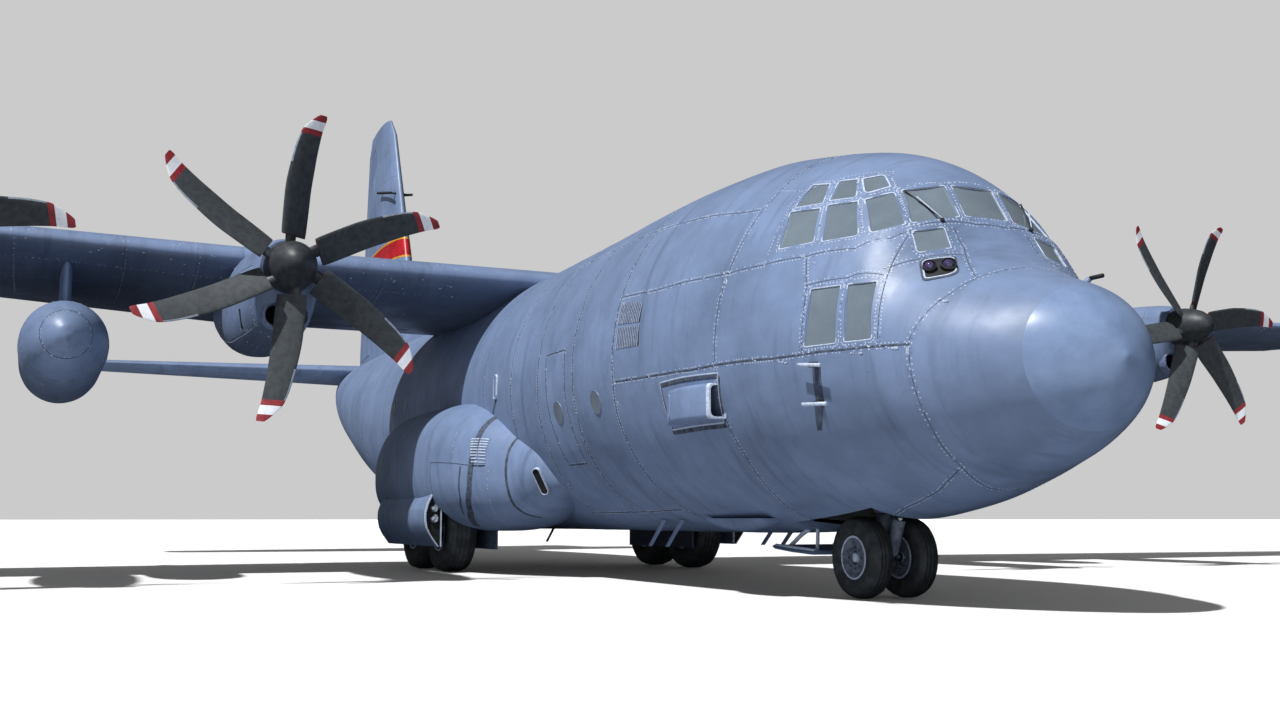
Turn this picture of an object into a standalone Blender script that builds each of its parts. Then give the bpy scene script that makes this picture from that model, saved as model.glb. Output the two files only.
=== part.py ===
"""Four-engined turboprop military transport plane, modelled at half of its real size.

Every size below is the real aeroplane's, in metres. The parts hang on one empty whose scale is
MODEL_SCALE, so the finished model is half as long, as wide and as high.
+X points to the nose, +Y to the port side and +Z up. The origin lies on the ground, under the middle.
"""

import math

import bmesh
import bpy
from mathutils import Matrix, Vector

MODEL_SCALE = 0.5
LENGTH = 29.79                # nose tip to tail light
GAP = 0.0007                  # between fixed pieces that touch
RUN = 0.014                   # between a moving piece and its frame
WALL = 0.12                   # skin, frames and lining of the cabin
AFT_WALL = 0.08               # the same aft of the wing, where they are lighter
FLAT_ANGLE = 0.02             # neighbouring faces within this angle, in degrees, become one
RING = 32                     # points round the fuselage

# Fuselage stations run aft from the nose tip; the columns are
# station, half width, crown, height of the widest point, keel, upper and lower squareness
HULL = [
    (0.00, 0.02, 2.27, 2.25, 2.23, 2.0, 2.0),
    (0.08, 0.30, 2.58, 2.25, 1.95, 2.0, 2.0),
    (0.35, 0.68, 2.88, 2.27, 1.68, 2.0, 2.0),
    (0.90, 1.09, 3.12, 2.31, 1.38, 2.0, 2.0),
    (1.30, 1.30, 3.30, 2.35, 1.24, 2.0, 2.0),
    (1.60, 1.42, 3.54, 2.38, 1.14, 2.0, 2.0),
    (1.80, 1.50, 3.88, 2.41, 1.08, 2.0, 2.0),
    (2.00, 1.57, 4.20, 2.44, 1.02, 2.1, 2.0),
    (2.25, 1.65, 4.42, 2.48, 0.96, 2.1, 2.0),
    (2.60, 1.76, 4.62, 2.52, 0.89, 2.1, 2.0),
    (3.10, 1.88, 4.83, 2.60, 0.81, 2.0, 2.0),
    (3.80, 2.01, 4.99, 2.70, 0.72, 2.0, 2.0),
    (4.70, 2.11, 5.08, 2.78, 0.64, 2.0, 2.0),
    (6.20, 2.16, 5.04, 2.80, 0.60, 2.0, 2.0),
    (8.90, 2.16, 4.98, 2.80, 0.60, 2.0, 2.0),
    (17.70, 2.16, 4.98, 2.80, 0.60, 2.0, 2.0),
    (19.60, 2.12, 4.98, 2.95, 1.02, 2.0, 2.2),
    (22.60, 1.86, 4.98, 3.40, 2.05, 2.0, 2.4),
    (25.40, 1.48, 4.96, 3.92, 3.10, 2.0, 2.6),
    (27.60, 0.98, 4.92, 4.40, 3.95, 2.0, 2.4),
    (29.20, 0.35, 4.82, 4.62, 4.40, 2.0, 2.0),
    (29.79, 0.12, 4.76, 4.66, 4.56, 2.0, 2.0),
]
RADOME_END = 1.30
COCKPIT_END = 3.80
FORWARD_END = 8.90
CENTRE_END = 17.70
HOLLOW_END = 27.60            # a fuselage table station
TAIL_END = 29.79

# Span position, leading edge station, chord, height of the chord line, thickness to chord
WING = [
    (0.00, 11.80, 4.88, 4.72, 0.18),
    (5.59, 11.80, 4.88, 4.74, 0.17),
    (6.40, 11.83, 4.76, 4.768, 0.167),
    (19.60, 12.40, 2.75, 5.22, 0.125),
    (20.205, 12.85, 2.00, 5.25, 0.11),
]
WING_JOINT = 6.40
WING_INCIDENCE = math.radians(5.0)
FLAP_CHORD = 0.74
FLAP_SPANS = {"inner": (2.32, 6.36), "outer": (6.44, 13.30)}
FLAP_PIVOT_DROP = 0.95
AILERON_CHORD = 0.76
AILERON_SPAN = (13.42, 19.40)
RIB_ROOM = 0.02               # from a control surface's end to the rib beside it
PIN_RADIUS = 0.012            # hinge pins at those ends
PIN_ROOT = 0.06               # length of such a pin inside its surface

TAILPLANE = [
    (0.00, 24.90, 4.00, 4.58, 0.12),
    (7.60, 26.00, 1.90, 4.62, 0.10),
    (8.02, 26.30, 1.40, 4.62, 0.09),
]
ELEVATOR_CHORD = 0.64
ELEVATOR_SPAN = (1.15, 7.55)

# Height, leading edge station, chord, sideways offset, thickness to chord
FIN = [
    (4.68, 23.10, 6.44, 0.0, 0.12),
    (5.60, 23.52, 6.02, 0.0, 0.12),
    (11.20, 26.00, 2.90, 0.0, 0.10),
    (11.70, 26.50, 2.10, 0.0, 0.09),
]
RUDDER_CHORD = 0.66
RUDDER_SPAN = (5.30, 11.15)
DORSAL_START = 18.60

# Engine positions: name, distance from the centre line, height of the shaft
ENGINES = [
    ("left_outer", 10.22, 4.27),
    ("left_inner", 5.55, 4.12),
    ("right_inner", -5.55, 4.12),
    ("right_outer", -10.22, 4.27),
]
# Station, half width, top and bottom from the shaft, squareness
NACELLE = [
    (9.03, 0.43, 0.43, -0.43, 2.0),
    (9.16, 0.48, 0.47, -0.86, 2.2),
    (9.40, 0.52, 0.50, -1.02, 2.4),
    (10.20, 0.56, 0.56, -1.12, 2.5),
    (11.20, 0.57, 0.61, -1.14, 2.5),
    (12.40, 0.57, 0.58, -1.06, 2.4),
    (13.60, 0.50, 0.50, -0.72, 2.2),
    (14.30, 0.36, 0.44, -0.26, 2.0),
    (14.78, 0.20, 0.40, 0.28, 2.0),
]
NACELLE_RING = 16
NACELLE_WALL = 0.05
INTAKE = {"start": 8.9, "end": 9.75, "half_width": 0.25, "top": -0.55, "bottom": -0.88}
ENGINE_BLOCK = {"start": 9.35, "end": 11.65, "half_width": 0.50, "half_height": 0.40}

PROPELLER_STATION = 8.75
BLADES = 6
PROPELLER_PHASE = math.radians(-9.6)
# Blade: radius, chord, thickness, sweep back from the pitch line, pitch angle in degrees
BLADE = [
    (0.30, 0.19, 0.110, -0.12, 37.0),
    (0.57, 0.19, 0.095, -0.12, 34.0),
    (0.61, 0.42, 0.070, -0.03, 33.0),
    (0.85, 0.43, 0.058, -0.04, 29.0),
    (1.35, 0.40, 0.040, -0.01, 21.0),
    (1.80, 0.31, 0.026, 0.09, 15.5),
    (2.057, 0.15, 0.014, 0.21, 13.0),
]
# Radius and distance ahead of the blades
SPINNER = [(0.00, 0.47), (0.10, 0.45), (0.20, 0.36), (0.30, 0.22), (0.37, 0.06), (0.405, -0.10),
           (0.405, -0.25)]

TANK = {"span": 8.22, "height": 3.29, "radius": 0.57, "start": 10.3, "length": 6.6}
TANK_PYLON = {"start": 12.3, "end": 14.5, "half_width": 0.09}

# Sponson: station, outer distance, top, bottom, squareness
SPONSON = [
    (10.20, 1.95, 1.35, 0.84, 2.2),
    (10.50, 2.25, 1.75, 0.68, 2.3),
    (11.10, 2.58, 2.30, 0.56, 2.5),
    (11.80, 2.78, 2.66, 0.50, 2.7),
    (12.60, 2.86, 2.84, 0.48, 2.8),
    (14.60, 2.86, 2.84, 0.48, 2.8),
    (16.00, 2.68, 2.62, 0.54, 2.6),
    (17.00, 2.42, 2.25, 0.68, 2.4),
    (17.80, 2.10, 1.80, 0.86, 2.2),
]
SPONSON_MIDDLE = 1.50
SPONSON_RING = 24

MAIN_WHEEL_STATIONS = {"front": 12.65, "rear": 14.225}
MAIN_WHEEL_Y = 2.21
MAIN_TYRE = {"radius": 0.71, "width": 0.50}
MAIN_WELL = {"start": 11.82, "end": 15.05, "inner": 1.83, "outer": 2.60, "roof": 1.62}
MOUTH_ROOF = 1.00             # the sponson's side is open below this
MAIN_BEAM = {"inner": 1.845, "outer": 1.945}
# Gear door: its inner face from the mouth's roof down, as distance and height
MAIN_DOOR = {"thickness": 0.05, "lift": 0.01, "end_room": 0.05,
             "path": [(2.60, MOUTH_ROOF - 0.01 - GAP), (2.86, 0.80), (2.96, 0.56), (2.96, 0.26)]}
HUB_RECESS = 0.10
AXLE_GAP = 0.0015
NOSE_STATION = 3.65
NOSE_TYRE = {"radius": 0.44, "width": 0.26, "offset": 0.29}
NOSE_BAY = {"start": 2.92, "end": 4.42, "half_width": 0.66, "roof": 1.55}

CREW_DOOR = {"start": 4.15, "end": 4.95, "bottom": 1.10, "top": 2.86,
             "barrel_start": 4.78, "barrel_radius": 0.010}
# Air scoop on the starboard cheek: station and how far it stands off the skin
SCOOP = {"bottom": 1.90, "top": 2.28, "lip": 0.03, "depth": 0.30,
         "path": [(3.86, 0.17), (4.20, 0.19), (4.60, 0.13), (4.92, 0.01)]}
PARA_DOOR = {"start": 18.30, "end": 19.20, "bottom": 1.45, "top": 3.30}
RAMP = {"start": 17.85, "end": 20.88, "half_width": 1.20, "hinge_inset": 0.02, "hinge_height": 0.68,
        "barrel_half": 0.4}
CARGO_DOOR = {"start": 20.98, "end": 24.30, "half_width": 1.20, "hinge_inset": 0.05}
DOOR_END_ROOM = 0.05          # ahead of the ramp and behind the cargo door, where their edges swing
FLOOR_START = 5.00            # behind the crew door
FLOOR_TOP = 1.34
FLOOR_THICKNESS = 0.10
FLIGHT_DECK = 2.30
DECK_THICKNESS = 0.30         # with the equipment carried under it
GLAZING = (1.60, 3.10)          # both are fuselage table stations

# Windows on the starboard side, mirrored to port. Each row: name, direction in which the glass is
# cut, and four corners in the plane across that direction: station and height for "side", distance
# from the centre line and height for "front"
WINDOWS = [
    ("lower_aft", "side", [(2.45, 2.53), (2.08, 2.53), (2.10, 3.08), (2.44, 3.08)]),
    ("lower_fore", "side", [(1.98, 2.53), (1.70, 2.53), (1.78, 3.08), (2.02, 3.08)]),
    ("side_aft", "side", [(3.01, 3.60), (2.52, 3.59), (2.72, 4.00), (3.09, 4.02)]),
    ("side_middle", "side", [(2.46, 3.59), (2.09, 3.59), (2.32, 4.00), (2.63, 4.00)]),
    ("corner", "side", [(2.04, 3.61), (1.87, 3.68), (2.13, 4.06), (2.28, 4.00)]),
    ("brow_aft", "side", [(3.06, 4.09), (2.74, 4.08), (2.86, 4.30), (3.08, 4.32)]),
    ("brow_middle", "side", [(2.67, 4.08), (2.40, 4.08), (2.57, 4.29), (2.79, 4.30)]),
    ("brow_fore", "front", [(0.98, 4.13), (0.70, 4.19), (0.60, 4.36), (0.88, 4.30)]),
    ("windscreen", "front", [(0.84, 3.72), (0.32, 3.81), (0.30, 4.15), (0.76, 4.07)]),
    ("chin", "front", [(0.90, 3.40), (0.60, 3.44), (0.57, 3.65), (0.85, 3.60)]),
]
CENTRE_PANE = [(-0.24, 3.84), (0.24, 3.84), (0.24, 4.17), (-0.24, 4.17)]

COLOURS = {
    # name: colour, roughness, metallic
    "paint": ((0.16, 0.20, 0.33, 1.0), 0.45, 0.2),
    "dark_paint": ((0.05, 0.055, 0.065, 1.0), 0.5, 0.1),
    "rubber": ((0.02, 0.02, 0.022, 1.0), 0.8, 0.0),
    "glass": ((0.20, 0.24, 0.24, 1.0), 0.1, 0.0),
    "steel": ((0.35, 0.36, 0.38, 1.0), 0.35, 0.9),
    "cabin": ((0.22, 0.24, 0.23, 1.0), 0.7, 0.0),
    "fabric": ((0.10, 0.12, 0.10, 1.0), 0.9, 0.0),
}


def x_of(station):
    """Lengthwise coordinate of a station."""
    return LENGTH / 2 - station


def material(name):
    found = bpy.data.materials.get(name)
    if found:
        return found
    colour, roughness, metallic = COLOURS[name]
    made = bpy.data.materials.new(name)
    made.use_nodes = True
    shader = made.node_tree.nodes["Principled BSDF"]
    shader.inputs["Base Color"].default_value = colour
    shader.inputs["Roughness"].default_value = roughness
    shader.inputs["Metallic"].default_value = metallic
    return made


def start_scene():
    """Empty the file, and make the collections and the empty that scales the model."""
    for old in list(bpy.data.objects):
        bpy.data.objects.remove(old, do_unlink=True)
    for name in ("transport_plane", "cutters"):
        bpy.context.scene.collection.children.link(bpy.data.collections.new(name))
    root = bpy.data.objects.new("model_scale", None)
    bpy.data.collections["transport_plane"].objects.link(root)
    root.scale = (MODEL_SCALE,) * 3
    return root


def shape_from(name, bm):
    """New object from a bmesh, outward faces, in the cutters' collection until it is finished."""
    bmesh.ops.recalc_face_normals(bm, faces=bm.faces)
    mesh = bpy.data.meshes.new(name)
    bm.to_mesh(mesh)
    bm.free()
    shape = bpy.data.objects.new(name, mesh)
    bpy.data.collections["cutters"].objects.link(shape)
    return shape


def loft(name, rings):
    """Closed solid through rings of equal counts, with flat ends."""
    bm = bmesh.new()
    rows = [[bm.verts.new(point) for point in ring] for ring in rings]
    count = len(rows[0])
    for near, far in zip(rows, rows[1:]):
        for k in range(count):
            j = (k + 1) % count
            bm.faces.new((near[k], near[j], far[j]))
            bm.faces.new((near[k], far[j], far[k]))
    bm.faces.new(rows[0][::-1])
    bm.faces.new(rows[-1])
    return shape_from(name, bm)


def tube_shell(name, outer, inner, closed_back=False):
    """Hollow body between two lofts, open at the front, and at the back unless closed."""
    bm = bmesh.new()
    outside = [[bm.verts.new(point) for point in ring] for ring in outer]
    inside = [[bm.verts.new(point) for point in ring] for ring in inner]
    count = len(outside[0])
    pairs = list(zip(outside, outside[1:])) + list(zip(inside, inside[1:]))
    pairs.append((outside[0], inside[0]))
    if closed_back:
        bm.faces.new(outside[-1])
        bm.faces.new(inside[-1])
    else:
        pairs.append((outside[-1], inside[-1]))
    for near, far in pairs:
        for k in range(count):
            j = (k + 1) % count
            bm.faces.new((near[k], near[j], far[j]))
            bm.faces.new((near[k], far[j], far[k]))
    return shape_from(name, bm)


def box(name, low, high):
    """Box between two corners."""
    bm = bmesh.new()
    bmesh.ops.create_cube(bm, size=1.0)
    size = [b - a for a, b in zip(low, high)]
    middle = [(a + b) / 2 for a, b in zip(low, high)]
    bmesh.ops.scale(bm, vec=size, verts=bm.verts)
    bmesh.ops.translate(bm, vec=middle, verts=bm.verts)
    return shape_from(name, bm)


def station_box(name, start, end, y_low, y_high, z_low, z_high):
    return box(name, (x_of(end), y_low, z_low), (x_of(start), y_high, z_high))


def prism(name, outline, direction, low, high):
    """Outline of (station, height) along Y, or of (distance, height) along X."""
    if direction == "side":
        ends = [[(x_of(s), y, z) for s, z in outline] for y in (low, high)]
    else:
        ends = [[(x_of(s), y, z) for y, z in outline] for s in (low, high)]
    return loft(name, ends)


def rod(name, start, end, radius, sides=16):
    """Straight bar between two points."""
    bm = bmesh.new()
    a, b = Vector(start), Vector(end)
    bmesh.ops.create_cone(bm, cap_ends=True, segments=sides, radius1=radius, radius2=radius,
                          depth=(b - a).length)
    turn = (b - a).to_track_quat("Z", "Y").to_matrix().to_4x4()
    bmesh.ops.transform(bm, matrix=Matrix.Translation((a + b) / 2) @ turn, verts=bm.verts)
    return shape_from(name, bm)


def applied(shape):
    """The shape with its modifiers made part of its mesh."""
    bpy.context.view_layer.update()
    graph = bpy.context.evaluated_depsgraph_get()
    mesh = bpy.data.meshes.new_from_object(shape.evaluated_get(graph))
    shape.modifiers.clear()
    shape.data = mesh
    return shape


def combined(shape, tool, operation):
    """Boolean of two shapes; the tool is used up."""
    modifier = shape.modifiers.new("boolean", "BOOLEAN")
    modifier.operation = operation
    modifier.object = tool
    applied(shape)
    bpy.data.objects.remove(tool, do_unlink=True)
    return shape


def cut(shape, *tools):
    for tool in tools:
        combined(shape, tool, "DIFFERENCE")
    return shape


def joined(shape, *tools):
    for tool in tools:
        combined(shape, tool, "UNION")
    return shape


def kept_inside(shape, tool):
    return combined(shape, tool, "INTERSECT")


def turned(name, profile, segments, axis, centre):
    """Turned shape: a profile of (radius, height) from the axis out and back, and its axis."""
    mesh = bpy.data.meshes.new(name)
    points = [(radius, 0.0, height) for radius, height in profile]
    edges = [(k, k + 1) for k in range(len(points) - 1)]
    mesh.from_pydata(points, edges, [])
    shape = bpy.data.objects.new(name, mesh)
    bpy.data.collections["cutters"].objects.link(shape)
    screw = shape.modifiers.new("screw", "SCREW")
    screw.steps = segments
    screw.render_steps = segments
    screw.use_merge_vertices = True
    screw.merge_threshold = 0.0001
    applied(shape)
    turn = Vector((0, 0, 1)).rotation_difference(Vector(axis)).to_matrix().to_4x4()
    shape.data.transform(Matrix.Translation(centre) @ turn)
    bm = bmesh.new()
    bm.from_mesh(shape.data)
    bmesh.ops.recalc_face_normals(bm, faces=bm.faces)
    bm.to_mesh(shape.data)
    bm.free()
    return shape


def finish(shape, name, colour, origin=(0, 0, 0), smooth=30.0):
    """Name the shape, give it its material, put its origin in place and hang it on the root."""
    shape.name = name
    shape.data.name = name
    bm = bmesh.new()
    bm.from_mesh(shape.data)
    bmesh.ops.remove_doubles(bm, verts=bm.verts, dist=1e-5)
    bmesh.ops.dissolve_degenerate(bm, edges=bm.edges, dist=1e-5)
    bmesh.ops.dissolve_limit(bm, angle_limit=math.radians(FLAT_ANGLE), verts=bm.verts, edges=bm.edges)
    bm.to_mesh(shape.data)
    bm.free()
    shape.data.transform(Matrix.Translation(-Vector(origin)))
    shape.location = origin
    shape.data.materials.clear()
    shape.data.materials.append(material(colour))
    shape.data.shade_smooth()
    shape.data.set_sharp_from_angle(angle=math.radians(smooth))
    bpy.data.collections["cutters"].objects.unlink(shape)
    bpy.data.collections["transport_plane"].objects.link(shape)
    shape.parent = bpy.data.objects["model_scale"]
    return shape


def smooth_value(table, station, column):
    """Monotone cubic through one column of a table."""
    xs = [row[0] for row in table]
    ys = [row[column] for row in table]
    steps = [b - a for a, b in zip(xs, xs[1:])]
    slopes = [(b - a) / h for a, b, h in zip(ys, ys[1:], steps)]
    tangents = [slopes[0]] + [0.0] * (len(xs) - 2) + [slopes[-1]]
    for i in range(1, len(xs) - 1):
        if slopes[i - 1] * slopes[i] > 0:
            before = 2 * steps[i] + steps[i - 1]
            after = steps[i] + 2 * steps[i - 1]
            tangents[i] = (before + after) / (before / slopes[i - 1] + after / slopes[i])
    i = 0
    while i < len(steps) - 1 and station > xs[i + 1]:
        i += 1
    h = steps[i]
    t = (station - xs[i]) / h
    return (ys[i] * (1 + 2 * t) * (1 - t) ** 2 + h * tangents[i] * t * (1 - t) ** 2
            + ys[i + 1] * t * t * (3 - 2 * t) + h * tangents[i + 1] * t * t * (t - 1))


def signed_power(value, power):
    return math.copysign(abs(value) ** power, value)


def hull_ring(station, inset=0.0):
    """Ring of points round the fuselage, drawn in by the inset."""
    half, crown, middle, keel, upper, lower = [smooth_value(HULL, station, c) for c in range(1, 7)]
    ring = []
    for k in range(RING):
        angle = 2 * math.pi * k / RING
        c, s = math.cos(angle), math.sin(angle)
        square = upper if s >= 0 else lower
        reach = (crown - middle if s >= 0 else middle - keel) - inset
        ring.append((x_of(station), (half - inset) * signed_power(c, 2 / square),
                     middle + reach * signed_power(s, 2 / square)))
    return ring


def hull_stations(start, end):
    between = [row[0] for row in HULL if start + 0.01 < row[0] < end - 0.01]
    return [start] + between + [end]


def hull_solid(start, end, inset=0.0):
    return loft("hull", [hull_ring(s, inset) for s in hull_stations(start, end)])


def hull_shell(start, end, closed_back_at=None, wall=WALL):
    """Length of the fuselage skin; the hollow stops at closed_back_at if that is given."""
    outer = [hull_ring(s) for s in hull_stations(start, end)]
    inner_end = closed_back_at or end
    inner = [hull_ring(s, wall) for s in hull_stations(start, inner_end)]
    return tube_shell("shell", outer, inner, closed_back=bool(closed_back_at))


def table_row(table, position):
    """Linear interpolation of a whole row of a span table."""
    for near, far in zip(table, table[1:]):
        if position <= far[0] + 1e-9:
            t = (position - near[0]) / (far[0] - near[0])
            return [a + (b - a) * t for a, b in zip(near, far)]
    return list(table[-1])


def half_thickness(t, chord, ratio):
    root = 0.2969 * math.sqrt(t) - 0.1260 * t - 0.3516 * t ** 2 + 0.2843 * t ** 3 - 0.1015 * t ** 4
    return 5 * ratio * chord * max(root, 0.0)


def chord_point(row, t, incidence):
    """Station and height of the chord line at the fraction t."""
    return row[1] + t * row[2], row[3] - (t - 0.25) * row[2] * math.sin(incidence)


def section_points(row, start, end, grow, incidence, nose, steps=7):
    """Section from the chord fraction start to end: (station, height) round the outline."""
    chord, ratio = row[2], row[4]
    fractions = []
    for k in range(steps + 1):
        u = k / steps
        spread = 1 - math.cos(math.pi * u / 2) if start == 0.0 else u
        fractions.append(start + (end - start) * spread)
    upper, lower = [], []
    for t in fractions:
        s, z = chord_point(row, t, incidence)
        h = half_thickness(t, chord, ratio) + grow
        if t == 0.0:
            h = 0.0
            s -= grow
        if t == 1.0:
            h = max(h, 0.012)
        elif t > end - 1e-6:
            s += grow
        upper.append((s, z + h))
        lower.append((s, z - h))
    if start == 0.0:
        return upper + lower[:0:-1]
    if nose:
        s, z = chord_point(row, start, incidence)
        h = half_thickness(start, chord, ratio)
        turns = [math.pi * k / 4 for k in (1, 2, 3)]
        arc = [(s - h * math.sin(a), z - h * math.cos(a)) for a in turns]
        return upper + lower[::-1] + arc
    return upper + lower[::-1]


def lifting_surface(table, low, high, start=0.0, end=1.0, side=1, grow=0.0, incidence=0.0,
                    upright=False, nose=False, steps=7):
    """Loft of sections between two span positions."""
    spans = [low] + [row[0] for row in table if low + 0.01 < row[0] < high - 0.01] + [high]
    rings = []
    for span in spans:
        row = table_row(table, span)
        points = section_points(row, start, end, grow, incidence, nose, steps)
        if upright:
            rings.append([(x_of(s), z, span) for s, z in points])
        else:
            rings.append([(x_of(s), side * span, z) for s, z in points])
    return loft("surface", rings)


def wing_cutter(side):
    return lifting_surface(WING, -0.01, 20.205, side=side, grow=GAP * 2, incidence=WING_INCIDENCE)


def bay_cutter(table, low, high, fraction, side=1, upright=False):
    """Block that clears the trailing edge over a span, for a surface hinged at the fraction."""
    rings = []
    for span in [low] + [row[0] for row in table if low < row[0] < high] + [high]:
        row = table_row(table, span)
        start = row[1] + fraction * row[2] - half_thickness(fraction, row[2], row[4]) - 1.3 * RUN
        end = row[1] + row[2] + 0.3
        corners = [(start, -0.9), (end, -0.9), (end, 0.9), (start, 0.9)]
        if upright:
            rings.append([(x_of(s), h, span) for s, h in corners])
        else:
            rings.append([(x_of(s), side * span, row[3] + h) for s, h in corners])
    return loft("bay", rings)


def hinge_point(table, span, fraction, incidence=0.0, upright=False, side=1):
    row = table_row(table, span)
    s, z = chord_point(row, fraction, incidence)
    return Vector((x_of(s), 0.0, span)) if upright else Vector((x_of(s), side * span, z))


def end_pin(table, span, fraction, outward, incidence=0.0, upright=False, side=1):
    """Hinge pin that stands straight out of the end of a control surface and stops short of its rib."""
    end = hinge_point(table, span, fraction, incidence, upright, side)
    way = Vector((0, 0, outward)) if upright else Vector((0, side * outward, 0))
    start = end - way * PIN_ROOT
    return rod("pin", start, end + way * (RIB_ROOM - GAP), PIN_RADIUS, 8)


def window_cutters():
    """Prisms through the cockpit skin, one for each pane."""
    tools = []
    for name, direction, outline in WINDOWS:
        for side in (-1, 1):
            if direction == "side":
                low, high = sorted((side * 0.55, side * 2.4))
                tools.append(prism(name, outline, "side", low, high))
            else:
                corners = [(side * y, z) for y, z in outline]
                tools.append(prism(name, corners, "front", 1.2, 2.9))
    tools.append(prism("centre_pane", CENTRE_PANE, "front", 1.2, 2.6))
    return tools


def build_nose_and_cockpit():
    outer = [hull_ring(s) for s in reversed(hull_stations(0.0, RADOME_END - GAP))]
    inner = [hull_ring(s, 0.05) for s in reversed(hull_stations(0.35, RADOME_END - GAP))]
    radome = tube_shell("radome", outer, inner, closed_back=True)
    finish(radome, "nose_radome", "paint")

    shell = hull_shell(RADOME_END, COCKPIT_END)
    cut(shell, *window_cutters())
    cut(shell, nose_bay_cutter())
    finish(shell, "cockpit_shell", "paint")

    stations = hull_stations(*GLAZING)
    outer = [hull_ring(s, WALL + GAP) for s in stations]
    inner = [hull_ring(s, WALL + 0.04) for s in stations]
    liner = tube_shell("liner", outer, inner)
    cut(liner, station_box("below", 1.0, 4.0, -3, 3, 0, 2.46))
    finish(liner, "cockpit_glazing", "glass")

    floor = station_box("floor", 1.36, 3.74, -3, 3, FLIGHT_DECK - DECK_THICKNESS, FLIGHT_DECK)
    wall = station_box("bulkhead", 1.36, 1.43, -3, 3, 0.9, 3.6)
    joined(floor, wall)
    kept_inside(floor, hull_solid(RADOME_END, COCKPIT_END, WALL + GAP))
    finish(floor, "cockpit_floor", "cabin")

    panel = station_box("panel", 1.98, 2.20, -0.90, 0.90, FLIGHT_DECK + GAP, 3.25)
    joined(panel, station_box("hood", 1.92, 2.35, -0.92, 0.92, 3.20, 3.32))
    finish(panel, "instrument_panel", "dark_paint")

    for side, word in ((1, "left"), (-1, "right")):
        y = side * 0.62
        seat = station_box("cushion", 2.60, 3.10, y - 0.25, y + 0.25, 2.66, 2.80)
        back = station_box("back", 3.06, 3.20, y - 0.25, y + 0.25, 2.70, 3.62)
        post = station_box("post", 2.75, 2.98, y - 0.14, y + 0.14, FLIGHT_DECK + GAP, 2.70)
        joined(seat, back, post)
        finish(seat, "pilot_seat_" + word, "fabric")


def nose_bay_cutter():
    bay = NOSE_BAY
    return station_box("bay", bay["start"], bay["end"], -bay["half_width"], bay["half_width"], 0.3, 1.2)


def door_prism(size, margin=0.0):
    """Outline of a door with a margin round it."""
    start, end = size["start"] - margin, size["end"] + margin
    bottom, top = size["bottom"] - margin, size["top"] + margin
    return [(start, bottom), (end, bottom), (end, top), (start, top)]


def build_forward_fuselage():
    shell = hull_shell(COCKPIT_END + GAP, FORWARD_END - GAP)
    cut(shell, nose_bay_cutter())
    door = kept_inside(hull_shell(COCKPIT_END + GAP, FORWARD_END - GAP),
                       prism("door", door_prism(CREW_DOOR), "side", 0.6, 2.4))
    cut(shell, prism("opening", door_prism(CREW_DOOR, RUN), "side", 0.6, 2.4))
    scoop = SCOOP
    joined(shell, loft("scoop", scoop_rings(scoop["path"], scoop["bottom"], scoop["top"], 0.0)))
    front = scoop["path"][0]
    mouth = [(front[0] - 0.1, front[1]), (front[0] + scoop["depth"], front[1])]
    cut(shell, loft("mouth", scoop_rings(mouth, scoop["bottom"] + scoop["lip"], scoop["top"] - scoop["lip"],
                                         scoop["lip"])))
    finish(shell, "forward_fuselage", "paint")
    hinge = crew_door_hinge(door)
    # The hinge barrel runs along the lower edge and ends at the opening's aft side
    barrel_start = Vector((x_of(CREW_DOOR["barrel_start"]), hinge.y, hinge.z))
    barrel_end = Vector((x_of(CREW_DOOR["end"] + RUN - GAP), hinge.y, hinge.z))
    joined(door, rod("barrel", barrel_start, barrel_end, CREW_DOOR["barrel_radius"]))
    finish(door, "crew_door", "paint", origin=hinge)


def scoop_rings(path, bottom, top, inset):
    """Sections of the cheek scoop, from inside the wall to its outer face."""
    rings = []
    for station, stand_off in path:
        half, crown, middle, keel, upper, lower = [smooth_value(HULL, station, c) for c in range(1, 7)]
        ring = []
        for z, depth in [(bottom, -0.05), (bottom, 0.6), (bottom + 0.04, 1.0),
                         (top - 0.04, 1.0), (top, 0.6), (top, -0.05)]:
            skin = half * (1 - ((middle - z) / (middle - keel)) ** lower) ** (1 / lower)
            out = (stand_off - inset) * depth if depth > 0 else (0.01 if inset else depth)
            ring.append((x_of(station), -(skin + out), z))
        rings.append(ring)
    return rings


def crew_door_hinge(door):
    """The door turns on the outermost point of its lower edge, so that no part of it dips below the sill."""
    low = CREW_DOOR["bottom"] + 0.001
    outer = max(v.co.y for v in door.data.vertices if v.co.z < low)
    return Vector((x_of((CREW_DOOR["start"] + CREW_DOOR["end"]) / 2), outer, CREW_DOOR["bottom"]))


def build_centre_fuselage():
    shell = hull_shell(FORWARD_END, CENTRE_END - GAP)
    cut(shell, wing_cutter(1), wing_cutter(-1))
    finish(shell, "centre_fuselage", "paint")
    floor = station_box("floor", FLOOR_START, CENTRE_END - GAP, -3, 3, FLOOR_TOP - FLOOR_THICKNESS, FLOOR_TOP)
    kept_inside(floor, hull_solid(COCKPIT_END, CENTRE_END - GAP, WALL + GAP))
    finish(floor, "cargo_floor", "cabin")


def aft_shell():
    return hull_shell(CENTRE_END, TAIL_END, closed_back_at=HOLLOW_END, wall=AFT_WALL)


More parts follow.
